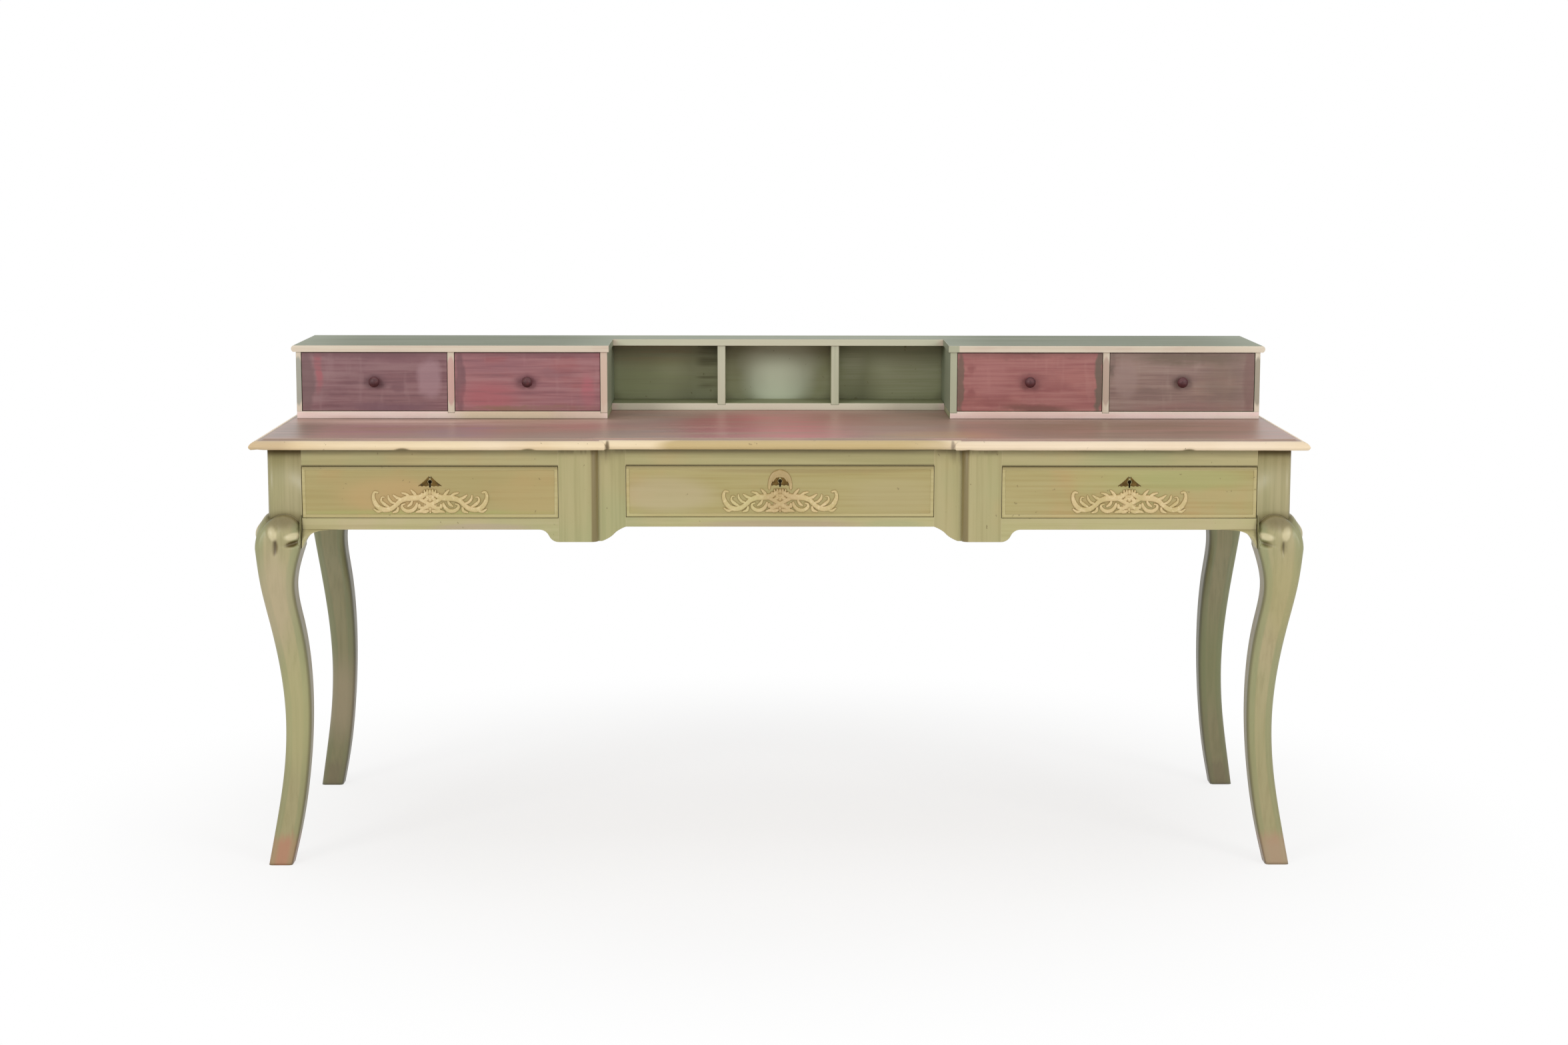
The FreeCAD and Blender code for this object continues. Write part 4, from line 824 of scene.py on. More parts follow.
ornament = {
    "step": 0.6, "level": 0.35, "halfWidth": 102, "low": -21, "high": 24, "crestHigh": 57, "height": 649,
    # strokes: samples along each, widening, ripple length and height, lobes, groove down the middle
    "samples": 60, "full": 1.28, "ripple": 3.4, "rippled": (0.80, 0.22), "lobed": (0.78, 0.30),
    "groove": 0.30, "grooveWidth": 0.06, "grooveFrom": 2.3,
    # painted shade: cells round a crease, its full depth, the height under which the relief counts as low
    "creaseReach": 3, "creaseDepth": 0.7, "lowHeight": 2.6, "lowShade": 0.75, "creaseShade": 0.6,
}

# right half of the swag, millimetres from the middle of the mount: strokes of
# (x, z, radius, height) and how many lobes each is cut into
swagStrokes = [
    ([(2, 18, 2.6, 3.2), (10, 12, 3.4, 3.8), (19, 7.5, 4.3, 4.4), (30, 6.5, 4.6, 4.4),
      (42, 5.5, 4.3, 4.2), (52, 1, 3.8, 3.8), (60, -6.5, 3.5, 3.6), (69, -12.5, 3.8, 3.8),
      (80, -14, 3.9, 3.8), (90, -9.5, 3.8, 3.8), (96.5, -0.5, 3.4, 3.4), (99, 9, 2.6, 3.0),
      (96.5, 16.5, 2.1, 2.6), (91.5, 16, 1.8, 2.4)], 0),
    ([(21, 5, 2.2, 2.8), (11, 0.5, 2.8, 3.4), (0, -5, 3.2, 3.9), (-9, -10.5, 3.0, 3.4),
      (-16, -14.5, 1.8, 2.6)], 0),
    ([(3, -16, 2.0, 2.8), (10, -17.5, 2.8, 3.2), (18, -17, 2.4, 3.0), (25, -18.5, 1.4, 2.4)], 2),
    ([(23, -3, 1.8, 2.6), (25, -9, 2.6, 3.2), (31, -15, 3.0, 3.4), (40, -16.5, 3.0, 3.4),
      (48, -12, 2.6, 3.0), (49, -6, 1.8, 2.6), (44, -4, 1.4, 2.4)], 0),
    ([(31, 1, 1.6, 2.6), (34, -4.5, 2.4, 3.0), (39, -8, 1.6, 2.6)], 0),
    ([(24, 10, 2.0, 2.8), (28, 15, 2.4, 3.0), (33, 20.5, 1.3, 2.2)], 0),
    ([(36, 9.5, 1.8, 2.6), (42, 13.5, 2.2, 2.8), (49, 15.5, 1.3, 2.2)], 0),
    ([(50, 5, 1.8, 2.6), (57, 6.5, 2.4, 2.8), (64, 11.5, 1.3, 2.2)], 0),
    ([(61, -3, 1.6, 2.4), (67, -1, 2.2, 2.8), (72, 5, 2.0, 2.6), (73, 11, 1.2, 2.2)], 0),
    ([(72, -9, 1.6, 2.6), (79, -5, 2.6, 3.0), (85, 1, 2.0, 2.8), (84, 7.5, 1.4, 2.4),
      (79.5, 8, 1.1, 2.2)], 0),
    ([(56, -11, 1.8, 2.6), (58, -16.5, 2.4, 2.8), (65, -19, 1.3, 2.2)], 0),
    ([(84, -16, 1.6, 2.4), (91, -17.5, 2.2, 2.6), (98, -13, 1.3, 2.2)], 0),
]
swagBosses = [
    # x, z, half width, half height, height
    (0, 17.5, 2.8, 5.2, 5.0), (4.8, 18.5, 2.2, 4.2, 4.4), (0, 10, 4.4, 2.6, 4.6), (9.5, 18.5, 2.0, 3.4, 3.6),
    (14, 14.5, 2.4, 2.2, 3.4), (0, 3, 3.0, 3.6, 4.4), (0, -13.5, 2.6, 3.4, 4.2), (0, -18.5, 2.0, 2.2, 3.4),
    (0, 8, 9.5, 9, 2.6), (7, 4, 4.2, 3.4, 3.6), (13.5, 2.5, 4.6, 3.2, 3.4), (6, -9.5, 5.2, 3.6, 3.2),
    (0, -8, 13, 9, 2.2), (14, -11, 5, 3.4, 3.0), (19, -8, 3.4, 5.2, 2.4),
]
crestStrokes = [
    ([(19, 21, 1.6, 2.2), (18, 30, 2.6, 2.6), (15.5, 39, 3.2, 2.8), (10, 46.5, 3.8, 3.0),
      (0, 50, 4.4, 3.4)], 0),
    ([(12.5, 35, 1.4, 1.6), (8, 42.5, 2.4, 2.2), (0, 44.5, 2.6, 2.6)], 0),
]


def reliefField(xs, zs, crest):
    gridX, gridZ = np.meshgrid(xs, zs, indexing="ij")
    field = np.zeros_like(gridX)
    narrow, swelling = ornament["lobed"]
    low, rise = ornament["rippled"]
    for hand in (-1, 1):
        for points, lobes in swagStrokes + (crestStrokes if crest else []):
            samples = strokeSamples(points, ornament["samples"])
            run = 0
            for i, (x, z, radius, height) in enumerate(samples):
                run += math.hypot(x - samples[i - 1][0], z - samples[i - 1][1]) if i else 0
                ripple = abs(math.sin(math.pi * run / ornament["ripple"]))
                radius *= ornament["full"]
                if lobes:
                    radius *= narrow + swelling * abs(math.sin(math.pi * lobes * i / (len(samples) - 1)))
                d = ((gridX - hand * x) ** 2 + (gridZ - z) ** 2) / radius ** 2
                strand = np.sqrt(np.clip(1 - d, 0, None))
                if radius > ornament["grooveFrom"]:
                    strand = strand - ornament["groove"] * np.exp(-d / ornament["grooveWidth"])
                field = np.maximum(field, height * (low + rise * ripple) * strand)
        for x, z, halfWide, halfHigh, height in swagBosses:
            d = ((gridX - hand * x) / halfWide) ** 2 + ((gridZ - z) / halfHigh) ** 2
            field = np.maximum(field, height * np.sqrt(np.clip(1 - d, 0, None)))
    return field


def creases(field, reach):
    # how far each cell lies below the mean of those round it
    padded = np.pad(field, reach, mode="edge")
    shifts = range(-reach, reach + 1)
    total = sum(np.roll(padded, (i, j), (0, 1)) for i in shifts for j in shifts)
    mean = total / (2 * reach + 1) ** 2
    return mean[reach:-reach, reach:-reach] - field


def reliefPiece(name, field, xs, zs, origin, level, paint):
    # closed mesh of the field above its level, facing -Y; the outline follows the level line
    points, lookup, faces, heightAt = [], {}, [], []

    def add(key, x, z, height):
        if key not in lookup:
            lookup[key] = len(points)
            points.append((x, z))
            heightAt.append(height)
        return lookup[key]

    def corner(i, j):
        return add((i, j), xs[i], zs[j], field[i, j])

    def crossing(here, there):
        (i, j), (k, l) = here, there
        a, b = field[i, j], field[k, l]
        t = (level - a) / (b - a)
        return add((min(here, there), max(here, there)), xs[i] + (xs[k] - xs[i]) * t,
                   zs[j] + (zs[l] - zs[j]) * t, level)

    inside = field > level
    for i in range(len(xs) - 1):
        for j in range(len(zs) - 1):
            ring = [(i, j), (i + 1, j), (i + 1, j + 1), (i, j + 1)]
            state = [inside[c] for c in ring]
            if not any(state):
                continue
            if state in ([True, False, True, False], [False, True, False, True]):
                # two corners on a diagonal: keep them apart
                for n in range(4):
                    if state[n]:
                        faces.append([crossing(ring[n - 1], ring[n]), corner(*ring[n]),
                                      crossing(ring[n], ring[(n + 1) % 4])])
                continue
            face = []
            for n in range(4):
                here, there = ring[n], ring[(n + 1) % 4]
                if inside[here]:
                    face.append(corner(*here))
                if inside[here] != inside[there]:
                    face.append(crossing(here, there))
            faces.append(face)
    count = len(points)
    edges = [pair for face in faces for pair in zip(face, face[1:] + face[:1])]
    used = set(edges)
    rim = [(a, b) for a, b in edges if (b, a) not in used]
    x0, y0, z0 = origin
    verts = [((x0 + x) * mm, (y0 - h) * mm, (z0 + z) * mm) for (x, z), h in zip(points, heightAt)]
    verts += [((x0 + x) * mm, y0 * mm, (z0 + z) * mm) for x, z in points]
    back = [[v + count for v in face[::-1]] for face in faces]
    wall = [[b, a, a + count, b + count] for a, b in rim]
    obj = newPiece(name, verts, faces + back + wall, paint)
    cells = [(round((x - xs[0]) / (xs[1] - xs[0])), round((z - zs[0]) / (zs[1] - zs[0]))) for x, z in points]
    return obj, np.array(heightAt), cells


# where each frieze drawer's face stands: middle and depth
frontPlaces = {"left": (-610.5, -318), "centre": (0, -305), "right": (610.5, -318)}
step = ornament["step"]
ornamentXs = np.arange(-ornament["halfWidth"], ornament["halfWidth"] + step, step)

for side, (middle, face) in frontPlaces.items():
    crest = side == "centre"
    zs = np.arange(ornament["low"], (ornament["crestHigh"] if crest else ornament["high"]) + step, step)
    field = reliefField(ornamentXs, zs, crest)
    piece, heights, cells = reliefPiece(f"applique_{side}", field, ornamentXs, zs,
                                        (middle, face, ornament["height"]), ornament["level"], "gilt")
    # painted shade in the creases and low parts of the relief; its back counts as fully shaded
    crease = creases(field, ornament["creaseReach"])
    sunk = np.clip([crease[cell] / ornament["creaseDepth"] for cell in cells], 0, 1)
    shallow = np.clip(1 - heights / ornament["lowHeight"], 0, 1)
    dark = np.clip(shallow * ornament["lowShade"] + sunk * ornament["creaseShade"], 0, 1)
    storeValue(piece, "hollowShade", np.concatenate([dark, np.ones(len(heights))]))
    handIn(piece, f"{side}_drawer", f"{side}_drawer_mount")

# keyhole plates: a low dark fan with the keyhole through it
plate = {
    "half": 18.5, "high": 12.5, "low": -7.5, "thick": 1.0, "eye": 3.9, "slot": 1.7, "tail": 7.6,
    "height": 683.7, "level": 0.2, "cell": 0.4, "wide": 20, "below": 10, "over": 15,
    # the fan's top knob, the scallops along its foot, the slope of its edges
    "tip": 3.2, "scallop": 0.6, "scallops": 0.9, "slope": 1.2,
}
cell = plate["cell"]
plateXs = np.arange(-plate["wide"], plate["wide"] + cell / 2, cell)
plateZs = np.arange(-plate["below"], plate["over"] + cell / 2, cell)
gx, gz = np.meshgrid(plateXs, plateZs, indexing="ij")
rise = gz - plate["low"]
span = np.clip(1 - rise / (plate["high"] - plate["low"]), 0, 1)
fan = np.minimum(plate["half"] * span ** 1.5 + plate["tip"] * span ** 0.4 - np.abs(gx),
                 rise + plate["scallop"] * np.cos(gx * plate["scallops"]))
hole = np.minimum(np.hypot(gx, gz) - plate["eye"],
                  np.maximum(np.abs(gx) - plate["slot"], -gz - plate["tail"]))
hole = np.where((gz < 0) & (np.abs(gx) < plate["slot"]) & (gz > -plate["tail"]), -1, hole)
plateField = np.clip(np.minimum(fan, hole) * plate["slope"], 0, plate["thick"])
for side, (middle, face) in frontPlaces.items():
    piece = reliefPiece(f"keyholePlate_{side}", plateField, plateXs, plateZs,
                        (middle, face, plate["height"]), plate["level"], "darkBronze")[0]
    handIn(piece, f"{side}_drawer")

print("stage: drawer fronts")


def cleanCopy(node):
    # merged copy of a CAD node's mesh, flat faces whole
    work = bmesh.new()
    work.from_mesh(nodes[node].data)
    bmesh.ops.remove_doubles(work, verts=work.verts, dist=1e-6)
    return work


def weld(work, reach):
    bmesh.ops.remove_doubles(work, verts=work.verts, dist=reach)
    bmesh.ops.dissolve_degenerate(work, edges=work.edges, dist=1e-6)


def mergeFlats(work):
    bmesh.ops.dissolve_limit(work, angle_limit=math.radians(1), verts=work.verts, edges=work.edges)


def facedOutwards(mesh, reach=None):
    # turns the faces outwards, after a weld where one is wanted
    work = bmesh.new()
    work.from_mesh(mesh)
    if reach:
        weld(work, reach)
    bmesh.ops.recalc_face_normals(work, faces=work.faces)
    work.to_mesh(mesh)
    work.free()


def pieceFrom(work, name, paint):
    mesh = bpy.data.meshes.new(name)
    work.to_mesh(mesh)
    work.free()
    return linked(name, mesh, paint)


def easeArrises(work, width, joints=(), above=-1.0):
    # rounds the free arrises over; those in a joint's plane (axis, distance from the middle) stay
    # sharp, and so do those that reach below a height in metres
    def inJoint(edge):
        a, b = (v.co for v in edge.verts)
        return any(abs(a[axis] - b[axis]) < 1e-5 and abs(abs(a[axis]) - level * mm) < 2e-5
                   for axis, level in joints)

    sharp = [e for e in work.edges if len(e.link_faces) == 2 and e.is_convex and
             e.calc_face_angle() > math.radians(35) and not inJoint(e) and
             min(v.co.z for v in e.verts) > above]
    bmesh.ops.bevel(work, geom=sharp, offset=width * mm, offset_type="OFFSET", segments=2, profile=0.5,
                    affect="EDGES", clamp_overlap=True)


bead = {"width": 6.0, "proud": 1.9, "round": 20, "inCad": 0.2}

# frieze drawer fronts lose the square bead of the frame and get a rounded one
for side, (middle, face) in frontPlaces.items():
    work = cleanCopy(f"{side}_drawer_front")
    for v in work.verts:
        if v.co.y < (face - bead["inCad"]) * mm:
            v.co.y = face * mm
    weld(work, 1e-6)
    mergeFlats(work)
    piece = pieceFrom(work, f"friezeFront_{side}", "drawerFront")
    handIn(piece, f"{side}_drawer", f"{side}_drawer_front")


def newTree(name, ports):
    # an empty geometry tree with its named inputs, and the way to take one
    tree = bpy.data.node_groups.new(name, "GeometryNodeTree")
    tree.interface.new_socket("Geometry", in_out="OUTPUT", socket_type="NodeSocketGeometry")
    for label, kind in ports.items():
        tree.interface.new_socket(label, in_out="INPUT", socket_type=f"NodeSocket{kind}")
    g = Finish(name, tree)
    given = tree.nodes.new("NodeGroupInput")
    return g, lambda label: Wire(g, given.outputs[label])


def closed(g, take, shape):
    whole = g.node("GeometryNodeRealizeInstances", None, {"Geometry": shape})
    painted = g.node("GeometryNodeSetMaterial", None, {"Geometry": whole, "Material": take("Paint")})
    ending = g.tree.nodes.new("NodeGroupOutput")
    g.tree.links.new(painted.socket, ending.inputs[0])
    return g.tree


def beadTree():
    g, take = newTree("cockBead", {
        "Length": "Float", "Height": "Float", "Bead Width": "Float", "Proud": "Float", "Round": "Int",
        "Place": "Vector", "Paint": "Material"})
    path = g.node("GeometryNodeCurvePrimitiveQuadrilateral", None, {
        "Width": take("Length") - take("Bead Width"), "Height": take("Height") - take("Bead Width")})
    circle = g.node("GeometryNodeCurvePrimitiveCircle", None, {"Resolution": take("Round"), "Radius": 1.0})
    # the four-sided path narrows its section at the corners by the root of two
    stretch = g.node("ShaderNodeCombineXYZ", None,
                     {"X": take("Bead Width") * 0.5 * math.sqrt(2), "Y": take("Proud"), "Z": 1.0})
    section = g.node("GeometryNodeTransform", None, {"Geometry": circle, "Scale": stretch})
    swept = g.node("GeometryNodeCurveToMesh", None, {"Curve": path, "Profile Curve": section})
    upright = g.node("GeometryNodeTransform", None, {
        "Geometry": swept, "Rotation": (math.pi / 2, 0, 0), "Translation": take("Place")})
    return closed(g, take, upright)


def grown(name, tree, values, source=None):
    # runs a geometry tree and keeps its result as a plain mesh
    obj = linked(name, source or bpy.data.meshes.new(name + "Seed"))
    modifier = obj.modifiers.new("grow", "NODES")
    modifier.node_group = tree
    sockets = {item.name: item.identifier for item in tree.interface.items_tree if item.in_out == "INPUT"}
    for label, value in values.items():
        modifier[sockets[label]] = value
    bpy.context.view_layer.update()
    mesh = bpy.data.meshes.new_from_object(obj.evaluated_get(bpy.context.evaluated_depsgraph_get()))
    obj.modifiers.clear()
    obj.data = mesh
    return obj


beads = beadTree()
for side, (middle, face) in frontPlaces.items():
    low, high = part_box(f"{side}_drawer_front")
    piece = grown(f"cockBead_{side}", beads, {
        "Length": high.x - low.x, "Height": high.z - low.z, "Bead Width": bead["width"] * mm,
        "Proud": bead["proud"] * mm, "Round": bead["round"],
        "Place": ((low.x + high.x) / 2, face * mm, (low.z + high.z) / 2), "Paint": finish["cockBead"],
    })
    smoothed(piece.data)
    handIn(piece, f"{side}_drawer")

print("stage: knobs")

knob = {
    # (radius, reach towards -Y), millimetres
    "profile": [(0, 17.0), (3.2, 16.7), (6.0, 15.5), (8.5, 13.3), (9.8, 11.2), (9.9, 9.8), (8.6, 8.6),
                (5.8, 7.2), (4.2, 5.4), (3.9, 3.2), (4.6, 1.4), (6.6, 0.4), (6.8, 0)],
    "turns": 40, "depth": 19, "height": 828.75, "clear": 8.6, "faceEase": 0.8,
}
knobPlaces = {1: -749.25, 2: -466.25, 3: 466.25, 4: 749.25}


def turnedPiece(name, profile, middle, turns, paint):
    # smooth curve through the profile, turned about an axis along Y
    reach = strokeSamples([(r, d, 0, 0) for r, d in profile], len(profile) * 4)
    x, y, z = middle
    verts = []
    for r, d, _, _ in reach[1:]:
        for k in range(turns):
            angle = 2 * math.pi * k / turns
            verts.append(((x + r * math.cos(angle)) * mm, (y - d) * mm, (z + r * math.sin(angle)) * mm))
    tip = len(verts)
    faces = ringFaces(range(0, tip, turns), list(range(turns)))
    verts.append((x * mm, (y - profile[0][1]) * mm, z * mm))
    faces += [(tip, (k + 1) % turns, k) for k in range(turns)]
    faces.append(tuple(range(tip - turns, tip)))
    obj = newPiece(name, verts, faces, paint)
    facedOutwards(obj.data)
    return obj


for number, middle in knobPlaces.items():
    body = f"gallery_drawer_{number}"
    piece = turnedPiece(f"drawerKnob_{number}", knob["profile"], (middle, knob["depth"], knob["height"]),
                        knob["turns"], "knob")
    handIn(piece, body)
    # the face board without its knob
    work = cleanCopy(f"{body}_front")
    within = {v for v in work.verts
              if math.hypot(v.co.x - middle * mm, v.co.z - knob["height"] * mm) < knob["clear"] * mm}
    turned = [face for face in work.faces if within.issuperset(face.verts)]
    bmesh.ops.delete(work, geom=turned, context="FACES")
    bmesh.ops.delete(work, geom=[v for v in work.verts if not v.link_faces], context="VERTS")
    bmesh.ops.holes_fill(work, edges=[e for e in work.edges if e.is_boundary])
    mergeFlats(work)
    easeArrises(work, knob["faceEase"])
    piece = pieceFrom(work, f"drawerFace_{number}", f"wash{number}")
    handIn(piece, body, f"{body}_front")

print("stage: edge moulding")

nosing = {
    "jog": 302, "recess": 13, "width": 24, "step": 11, "waver": 0.22, "waveSize": 0.021, "arcSteps": 9,
    # outline from the underside round the nose to the top: nose, swell and hollow, millimetres
    # inwards and up, each with the radius of its arc and whether that bulges outwards
    "arcs": [((4, 0), (0, 5.5), 7.5, True), ((0, 5.5), (12.5, 15), 15, True),
             ((12.5, 15), (22.5, 17), 16, False)],
    # knocks along the front lip: place, half length, depth
    "knocks": [(-655, 9, 2.6), (-437, 8, 2.2), (-905, 6, 1.5), (330, 6, 1.2), (710, 7, 2.2)],
    "lip": 8, "flatFrom": 22,
}


def arcPoints(start, end, radius, outwards, count):
    a, b = np.array(start, float), np.array(end, float)
    chord = b - a
    half = np.linalg.norm(chord) / 2
    normal = np.array((chord[1], -chord[0])) / (2 * half)
    centre = (a + b) / 2 + normal * math.sqrt(radius ** 2 - half ** 2) * (1 if outwards else -1)
    first = math.atan2(*(a - centre)[::-1])
    turn = (math.atan2(*(b - centre)[::-1]) - first + math.pi) % (2 * math.pi) - math.pi
    angles = [first + turn * i / count for i in range(count)]
    return [tuple(centre + radius * np.array((math.cos(angle), math.sin(angle)))) for angle in angles]


def edgeMoulding():
    low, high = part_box("tabletop_moulding")
    x, y = high.x / mm, high.y / mm
    section = [(nosing["width"], 0)]
    for arc in nosing["arcs"]:
        section += arcPoints(*arc, nosing["arcSteps"])
    section += [nosing["arcs"][-1][1], (nosing["width"], (high.z - low.z) / mm)]
    jog, recess = nosing["jog"], nosing["recess"]
    # corners of the top in plan, each with its way inwards
    corners = [(-x, -y, 1, 1), (-jog, -y, -1, 1), (-jog, recess - y, -1, 1), (jog, recess - y, 1, 1),
               (jog, -y, 1, 1), (x, -y, -1, 1), (x, y, -1, -1), (-x, y, 1, -1)]
    points, inward = [], []
    for here, there in zip(corners, corners[1:] + corners[:1]):
        parts = max(1, round(math.dist(here[:2], there[:2]) / nosing["step"]))
        for part in range(parts):
            t = part / parts
            for inset, up in section:
                px, py = (here[k] + here[k + 2] * inset + (there[k] + there[k + 2] * inset -
                          here[k] - here[k + 2] * inset) * t for k in (0, 1))
                lip = max(0, 1 - up / nosing["lip"]) if inset < nosing["lip"] and py < 0 else 0
                knocks = (deep * math.exp(-((px - at) / half) ** 4) for at, half, deep in nosing["knocks"])
                dent = sum(knocks) * lip
                outer = 1 if 0 < up and inset < nosing["flatFrom"] and part else 0
                place = Vector((px, py, up * 3)) * nosing["waveSize"]
                wave = noise.noise(place) * nosing["waver"] * outer
                points.append((px * mm, max(-y, min(y, py + dent + wave)) * mm,
                               low.z + (up + dent * 0.5 + wave) * mm))
                inward.append(inset / nosing["width"])
    width = len(section)
    starts = list(range(0, len(points), width)) + [0]
    faces = [quad[:1] + quad[:0:-1] for quad in ringFaces(starts, list(range(width)))]
    piece = newPiece("edgeMoulding", points, faces, "nosing")
    storeValue(piece, "inward", inward)
    piece.data.set_sharp_from_angle(angle=math.radians(32))
    return piece


handIn(edgeMoulding(), "desk", "tabletop_moulding")

print("stage: knee wings")

wing = {"reach": 62, "drop": 32, "fall": 10.5, "depth": 22, "post": 60, "apron": 599.5, "swell": 12,
        "along": 26, "up": 9, "crowding": 1.6}


def kneeWings():
    # carved brackets that carry the swell of the knee out to the flat of the rail
    reach, drop, up = wing["reach"], wing["drop"], wing["up"]
    end = math.exp(-reach / wing["fall"])
    ring = 2 * (up + 1)
    order = list(range(up + 1)) + list(range(ring - 1, up, -1))
    points, faces = [], []
    for handX, handY, lengthwise in [(a, b, c) for a in (-1, 1) for b in (-1, 1) for c in (True, False)]:
        first = len(points)
        for i in range(wing["along"] + 1):
            out = reach * (i / wing["along"]) ** wing["crowding"]
            low = wing["apron"] - drop * (math.exp(-out / wing["fall"]) - end) / (1 - end)
            for inner in (False, True):
                for k in range(up + 1):
                    t = k / up
                    swell = wing["swell"] * (1 - out / reach) ** 2 * (1 - t * t)
                    face = -wing["depth"] if inner else swell
                    fromX, fromY = (-wing["post"] - out, face) if lengthwise else (face, -wing["post"] - out)
                    points.append((handX * (leg["halfWidth"] + fromX) * mm,
                                   handY * (leg["halfDepth"] + fromY) * mm,
                                   (low + (wing["apron"] - low) * t) * mm))
        faces += ringFaces(range(first, len(points), ring), order)
        faces.append(tuple(first + a for a in order))
    piece = newPiece("kneeWings", points, faces, "carcassAcross")
    facedOutwards(piece.data, 1e-5)
    piece.data.set_sharp_from_angle(angle=math.radians(35))
    return piece


handIn(kneeWings(), "desk", "knee_brackets")

print("stage: boards")

# each board: finish, how far its arrises are rounded, the joint planes that stay sharp, its slot
railJoints = [(0, 387), (0, 834), (0, 270)]
boards = {}
for pattern, places, *board in (
    ("top_rail_{}", sections, "carcassAcross", 0.6, railJoints, "carcass_paint"),
    ("lower_rail_{}", sections, "lowerRail", 0.9, railJoints, "carcass_paint"),
    ("junction_block_{}", sides, "carcassUpright", 1.0, railJoints, "carcass_paint"),
    ("side_apron_{}", sides, "carcassDeep", 1.2, [(1, 258)], "carcass_paint"),
    ("back_{}", ["apron"], "carcassAcross", 1.2, [(0, 834)], "carcass_paint"),
    ("gallery_{}", ["base"], "galleryBase", 0.9, [], "gallery_paint"),
    ("gallery_{}", ["top"], "galleryTop", 1.2, [], "gallery_paint"),
    *[(name + "_{}", [side], *board, "gallery_paint") for side in sides for name, *board in (
        ("gallery_end", "galleryUpright", 0.7, [(2, 773.5), (2, 884)]),
        ("gallery_inner", "galleryUpright", 0.9, []),
        ("gallery_divider", "galleryUpright", 0.9, []),
        ("pigeonhole_divider", "pigeonholePost", 0.9, []))],
    ("{}_drawer_box", sections, "pineDeep", 0.7, [], "bare_wood"),
    ("gallery_drawer_{}_box", knobPlaces, "pineDeep", 0.6, [], "bare_wood"),
):
    for place in places:
        boards[pattern.format(place)] = board
bracket = {"from": (270, 603), "to": (312, 577.5), "straight": 0.6}
panelTop = 20


def straighten(work):
    # the shaped foot of a junction block, worn and rubbed nearly to a plain slope
    (x0, z0), (x1, z1) = bracket["from"], bracket["to"]
    for v in work.verts:
        x, z = abs(v.co.x) / mm, v.co.z / mm
        if x0 - 0.01 < x < x1 + 0.01 and z < z0 + 0.05:
            v.co.z += (z0 + (z1 - z0) * (x - x0) / (x1 - x0) - z) * bracket["straight"] * mm


for node, (paint, width, joints, slot) in boards.items():
    work = cleanCopy(node)
    if node.startswith("junction_block"):
        straighten(work)
    mergeFlats(work)
    if node.endswith("_box"):
        # a drawer's arrises are eased from its bottom panel up
        body = node.removesuffix("_box")
        easeArrises(work, width, joints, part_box(node)[0].z + panelTop * mm)
    else:
        body = "desk"
        easeArrises(work, width, joints)
    piece = pieceFrom(work, f"eased_{node}", paint)
    handIn(piece, body, node)

dressing = {
    "writingTop": ["tabletop"], "galleryInside": ["gallery_back"], "pineAcross": ["glue_blocks"],
    "pineDeep": ["partition_left", "partition_right", "drawer_runners", "drawer_kickers"],
    "brass": [f"{side}_drawer_lock" for side in sections],
    "iron": [f"{side}_drawer_bolt" for side in sections],
}
for paint, dressed in dressing.items():
    for node in dressed:
        nodes[node].data.materials.clear()
        nodes[node].data.materials.append(finish[paint])

print("stage: fixings")

fixings = {
    "screw": {"radius": 2.5, "height": 0.7, "slot": 0.7, "inset": 6},
    "pin": {"radius": 1.1, "height": 0.7, "slot": 0.0, "at": [(-14.5, 678.8), (14.5, 678.8), (0, 691.5)],
            "behind": 0.8},
    "nail": {"radius": 1.9, "height": 0.4, "slot": 0.0, "up": (788, 829, 870),
             "across": (-607.75, -324.5, -108.5, 108.5, 324.5, 607.75)},
}


def headTree():
    # heads of screws, pins and nails, one on each vertex of the mesh, turned at random
    g, take = newTree("fixingHeads", {
        "Geometry": "Geometry", "Radius": "Float", "Height": "Float", "Slot": "Float",
        "Facing": "Vector", "Seed": "Int", "Paint": "Material"})

    def moved(shape, height):
        up = g.node("ShaderNodeCombineXYZ", None, {"Z": height})
        return g.node("GeometryNodeTransform", None, {"Geometry": shape, "Translation": up})

    disc = g.node("GeometryNodeMeshCylinder", None,
                  {"Vertices": 16, "Radius": take("Radius"), "Depth": take("Height")})
    raised = moved(disc, take("Height") * 0.5)
    size = g.node("ShaderNodeCombineXYZ", None,
                  {"X": take("Radius") * 3.0, "Y": take("Slot"), "Z": take("Height")})
    sunk = moved(g.node("GeometryNodeMeshCube", None, {"Size": size}), take("Height"))
    slotted = g.node("GeometryNodeMeshBoolean", {"operation": "DIFFERENCE"},
                     {"Mesh 1": raised, "Mesh 2": sunk})
    hasSlot = g.node("FunctionNodeCompare", {"data_type": "FLOAT", "operation": "GREATER_THAN"},
                     {0: take("Slot"), 1: 0.00001})
    head = g.node("GeometryNodeSwitch", {"input_type": "GEOMETRY"},
                  {"Switch": hasSlot, "False": raised, "True": slotted})
    placed = g.node("GeometryNodeInstanceOnPoints", None,
                    {"Points": take("Geometry"), "Instance": head, "Rotation": take("Facing")})
    angle = g.node("FunctionNodeRandomValue", {"data_type": "FLOAT"},
                   {2: 0.0, 3: math.pi, "Seed": take("Seed")}, out=1)
    turned = g.node("GeometryNodeRotateInstances", None,
                    {"Instances": placed, "Rotation": g.node("ShaderNodeCombineXYZ", None, {"Z": angle})})
    return closed(g, take, turned)


heads = headTree()
toBack = (-math.pi / 2, 0, 0)
toFront = (math.pi / 2, 0, 0)


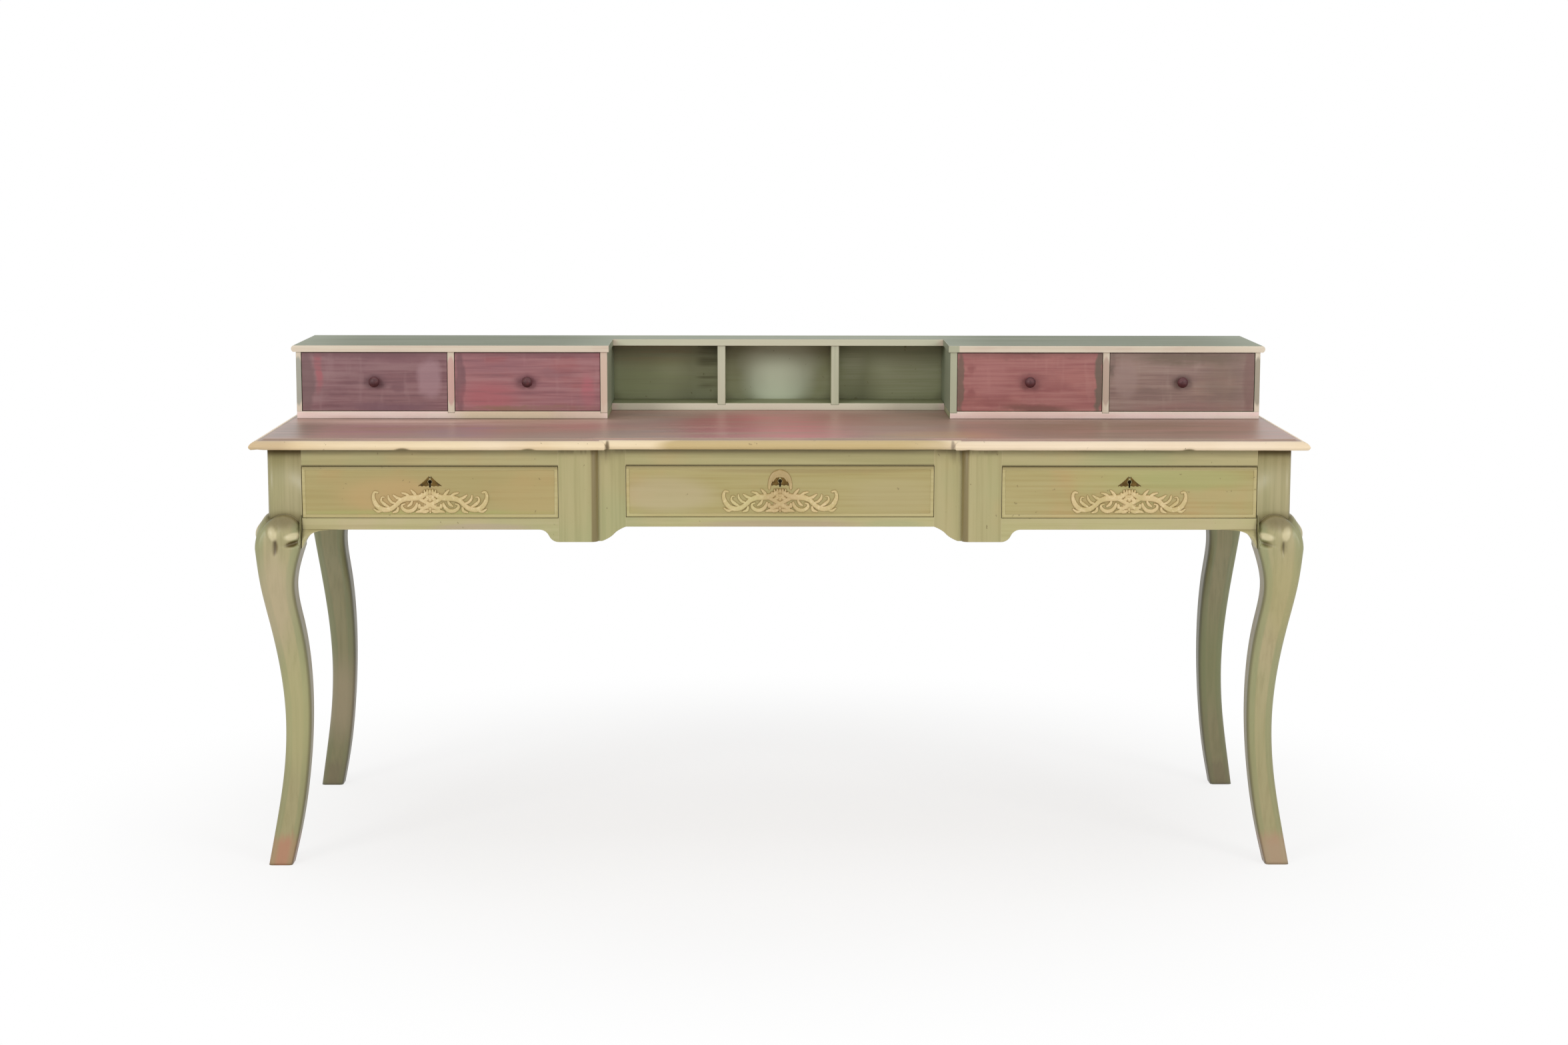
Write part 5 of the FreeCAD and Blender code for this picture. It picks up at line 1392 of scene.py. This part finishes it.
def driven(name, kind, spots, facing, seed):
    places = bpy.data.meshes.new(name + "Places")
    places.from_pydata([tuple(c * mm for c in spot) for spot in spots], [], [])
    shape = fixings[kind]
    return grown(name, heads, {
        "Radius": shape["radius"] * mm, "Height": shape["height"] * mm, "Slot": shape["slot"] * mm,
        "Facing": facing, "Seed": seed, "Paint": finish["iron"]}, places)


screw, pin, nail = fixings["screw"], fixings["pin"], fixings["nail"]
for seed, (side, (middle, face)) in enumerate(frontPlaces.items()):
    low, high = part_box(f"{side}_drawer_lock")
    inset = screw["inset"]
    spots = [(x, high.y / mm, z) for x in (low.x / mm + inset, high.x / mm - inset)
             for z in (low.z / mm + inset, high.z / mm - inset)]
    piece = driven(f"lockScrews_{side}", "screw", spots, toBack, seed)
    handIn(piece, f"{side}_drawer")
    spots = [(middle + x, face - pin["behind"], z) for x, z in pin["at"]]
    piece = driven(f"platePins_{side}", "pin", spots, toFront, seed + 5)
    handIn(piece, f"{side}_drawer")
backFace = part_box("gallery_back")[1].y / mm
spots = [(x, backFace, z) for x in nail["across"] for z in nail["up"]]
handIn(driven("backNails", "nail", spots, toBack, 11), "desk")

print("stage: studio")

white = (1, 1, 1, 1)


def seen(f):
    # over 0 for rays that reach the picture straight, off a shiny surface or through glass
    rays = f.tree.nodes.new("ShaderNodeLightPath").outputs
    straight, glossy, through = (Wire(f, rays[f"Is {kind} Ray"])
                                 for kind in ("Camera", "Glossy", "Transmission"))
    return straight + glossy + through


def studioFloor():
    f = Finish("studioFloor")
    tone = f.ground(f.noise((0.8, 0.8, 0.8), 2, 0.5), 0.3, 0.7, (250, 249, 248), (254, 253, 252))
    lit = f.node("ShaderNodeBsdfDiffuse", None, {"Color": tone})
    bright = f.node("ShaderNodeEmission", None, {"Color": white, "Strength": 1.0})
    away = f.vectors("LENGTH", f.place, out="Value")
    amount = seen(f).clamped() * f.between(away, 0.6, 1.5, 0.72, 1.0)
    mixed = f.node("ShaderNodeMixShader", None, {0: amount, 1: lit, 2: bright})
    f.node("ShaderNodeOutputMaterial", None, {"Surface": mixed})
    return f.material


floorHalf = 15
floorMesh = bpy.data.meshes.new("floor")
floorMesh.from_pydata([(x * floorHalf, y * floorHalf, 0) for x, y in ((-1, -1), (1, -1), (1, 1), (-1, 1))],
                      [], [(0, 1, 2, 3)])
floorMesh.materials.append(studioFloor())
linked("floor", floorMesh)

scene = bpy.context.scene
world = bpy.data.worlds.new("studio")
scene.world = world
world.use_nodes = True
world.node_tree.nodes.clear()
sky = Finish("studio", world.node_tree)
light = sky.node("ShaderNodeBackground", None,
                 {"Color": white, "Strength": sky.between(seen(sky), 0.4, 0.6, 0.5, 1.0)})
sky.node("ShaderNodeOutputWorld", None, {"Surface": light})

aim = Vector((0, 0, 0.6))
lamps = {
    # place, size, power
    "softLeft": ((-3.2, -4.2, 2.6), (1.6, 1.6), 72),
    "softRight": ((3.4, -4.0, 2.4), (1.6, 1.6), 64),
    "softTop": ((0, -0.4, 4.2), (4.5, 2.6), 26),
}
for name, (place, size, power) in lamps.items():
    lamp = bpy.data.lights.new(name, "AREA")
    lamp.shape = "RECTANGLE"
    lamp.size, lamp.size_y = size
    lamp.energy = power
    obj = linked(name, lamp)
    obj.location = place
    obj.rotation_mode = "QUATERNION"
    obj.rotation_quaternion = (aim - Vector(place)).to_track_quat("-Z", "Y")

view = {"place": (-0.0386, -5.2042, 1.3004), "lens": 64.789, "pitch": 8.0148, "yaw": 0.5331, "roll": 0.0876}
pitch, yaw, roll = (math.radians(view[k]) for k in ("pitch", "yaw", "roll"))
across = Vector((math.cos(yaw), -math.sin(yaw), 0))
level = Vector((math.sin(yaw), math.cos(yaw), 0))
forward = level * math.cos(pitch) - Vector((0, 0, 1)) * math.sin(pitch)
upward = level * math.sin(pitch) + Vector((0, 0, 1)) * math.cos(pitch)
right = across * math.cos(roll) + upward * math.sin(roll)
top = upward * math.cos(roll) - across * math.sin(roll)
camera = linked("camera", bpy.data.cameras.new("camera"))
camera.data.sensor_width = 36
camera.data.lens = view["lens"]
camera.data.clip_end = 100
rows = zip(right, top, -forward, view["place"])
camera.matrix_world = Matrix((*rows, (0, 0, 0, 1)))
scene.camera = camera
scene.view_settings.view_transform = "Standard"

print("stage: done")
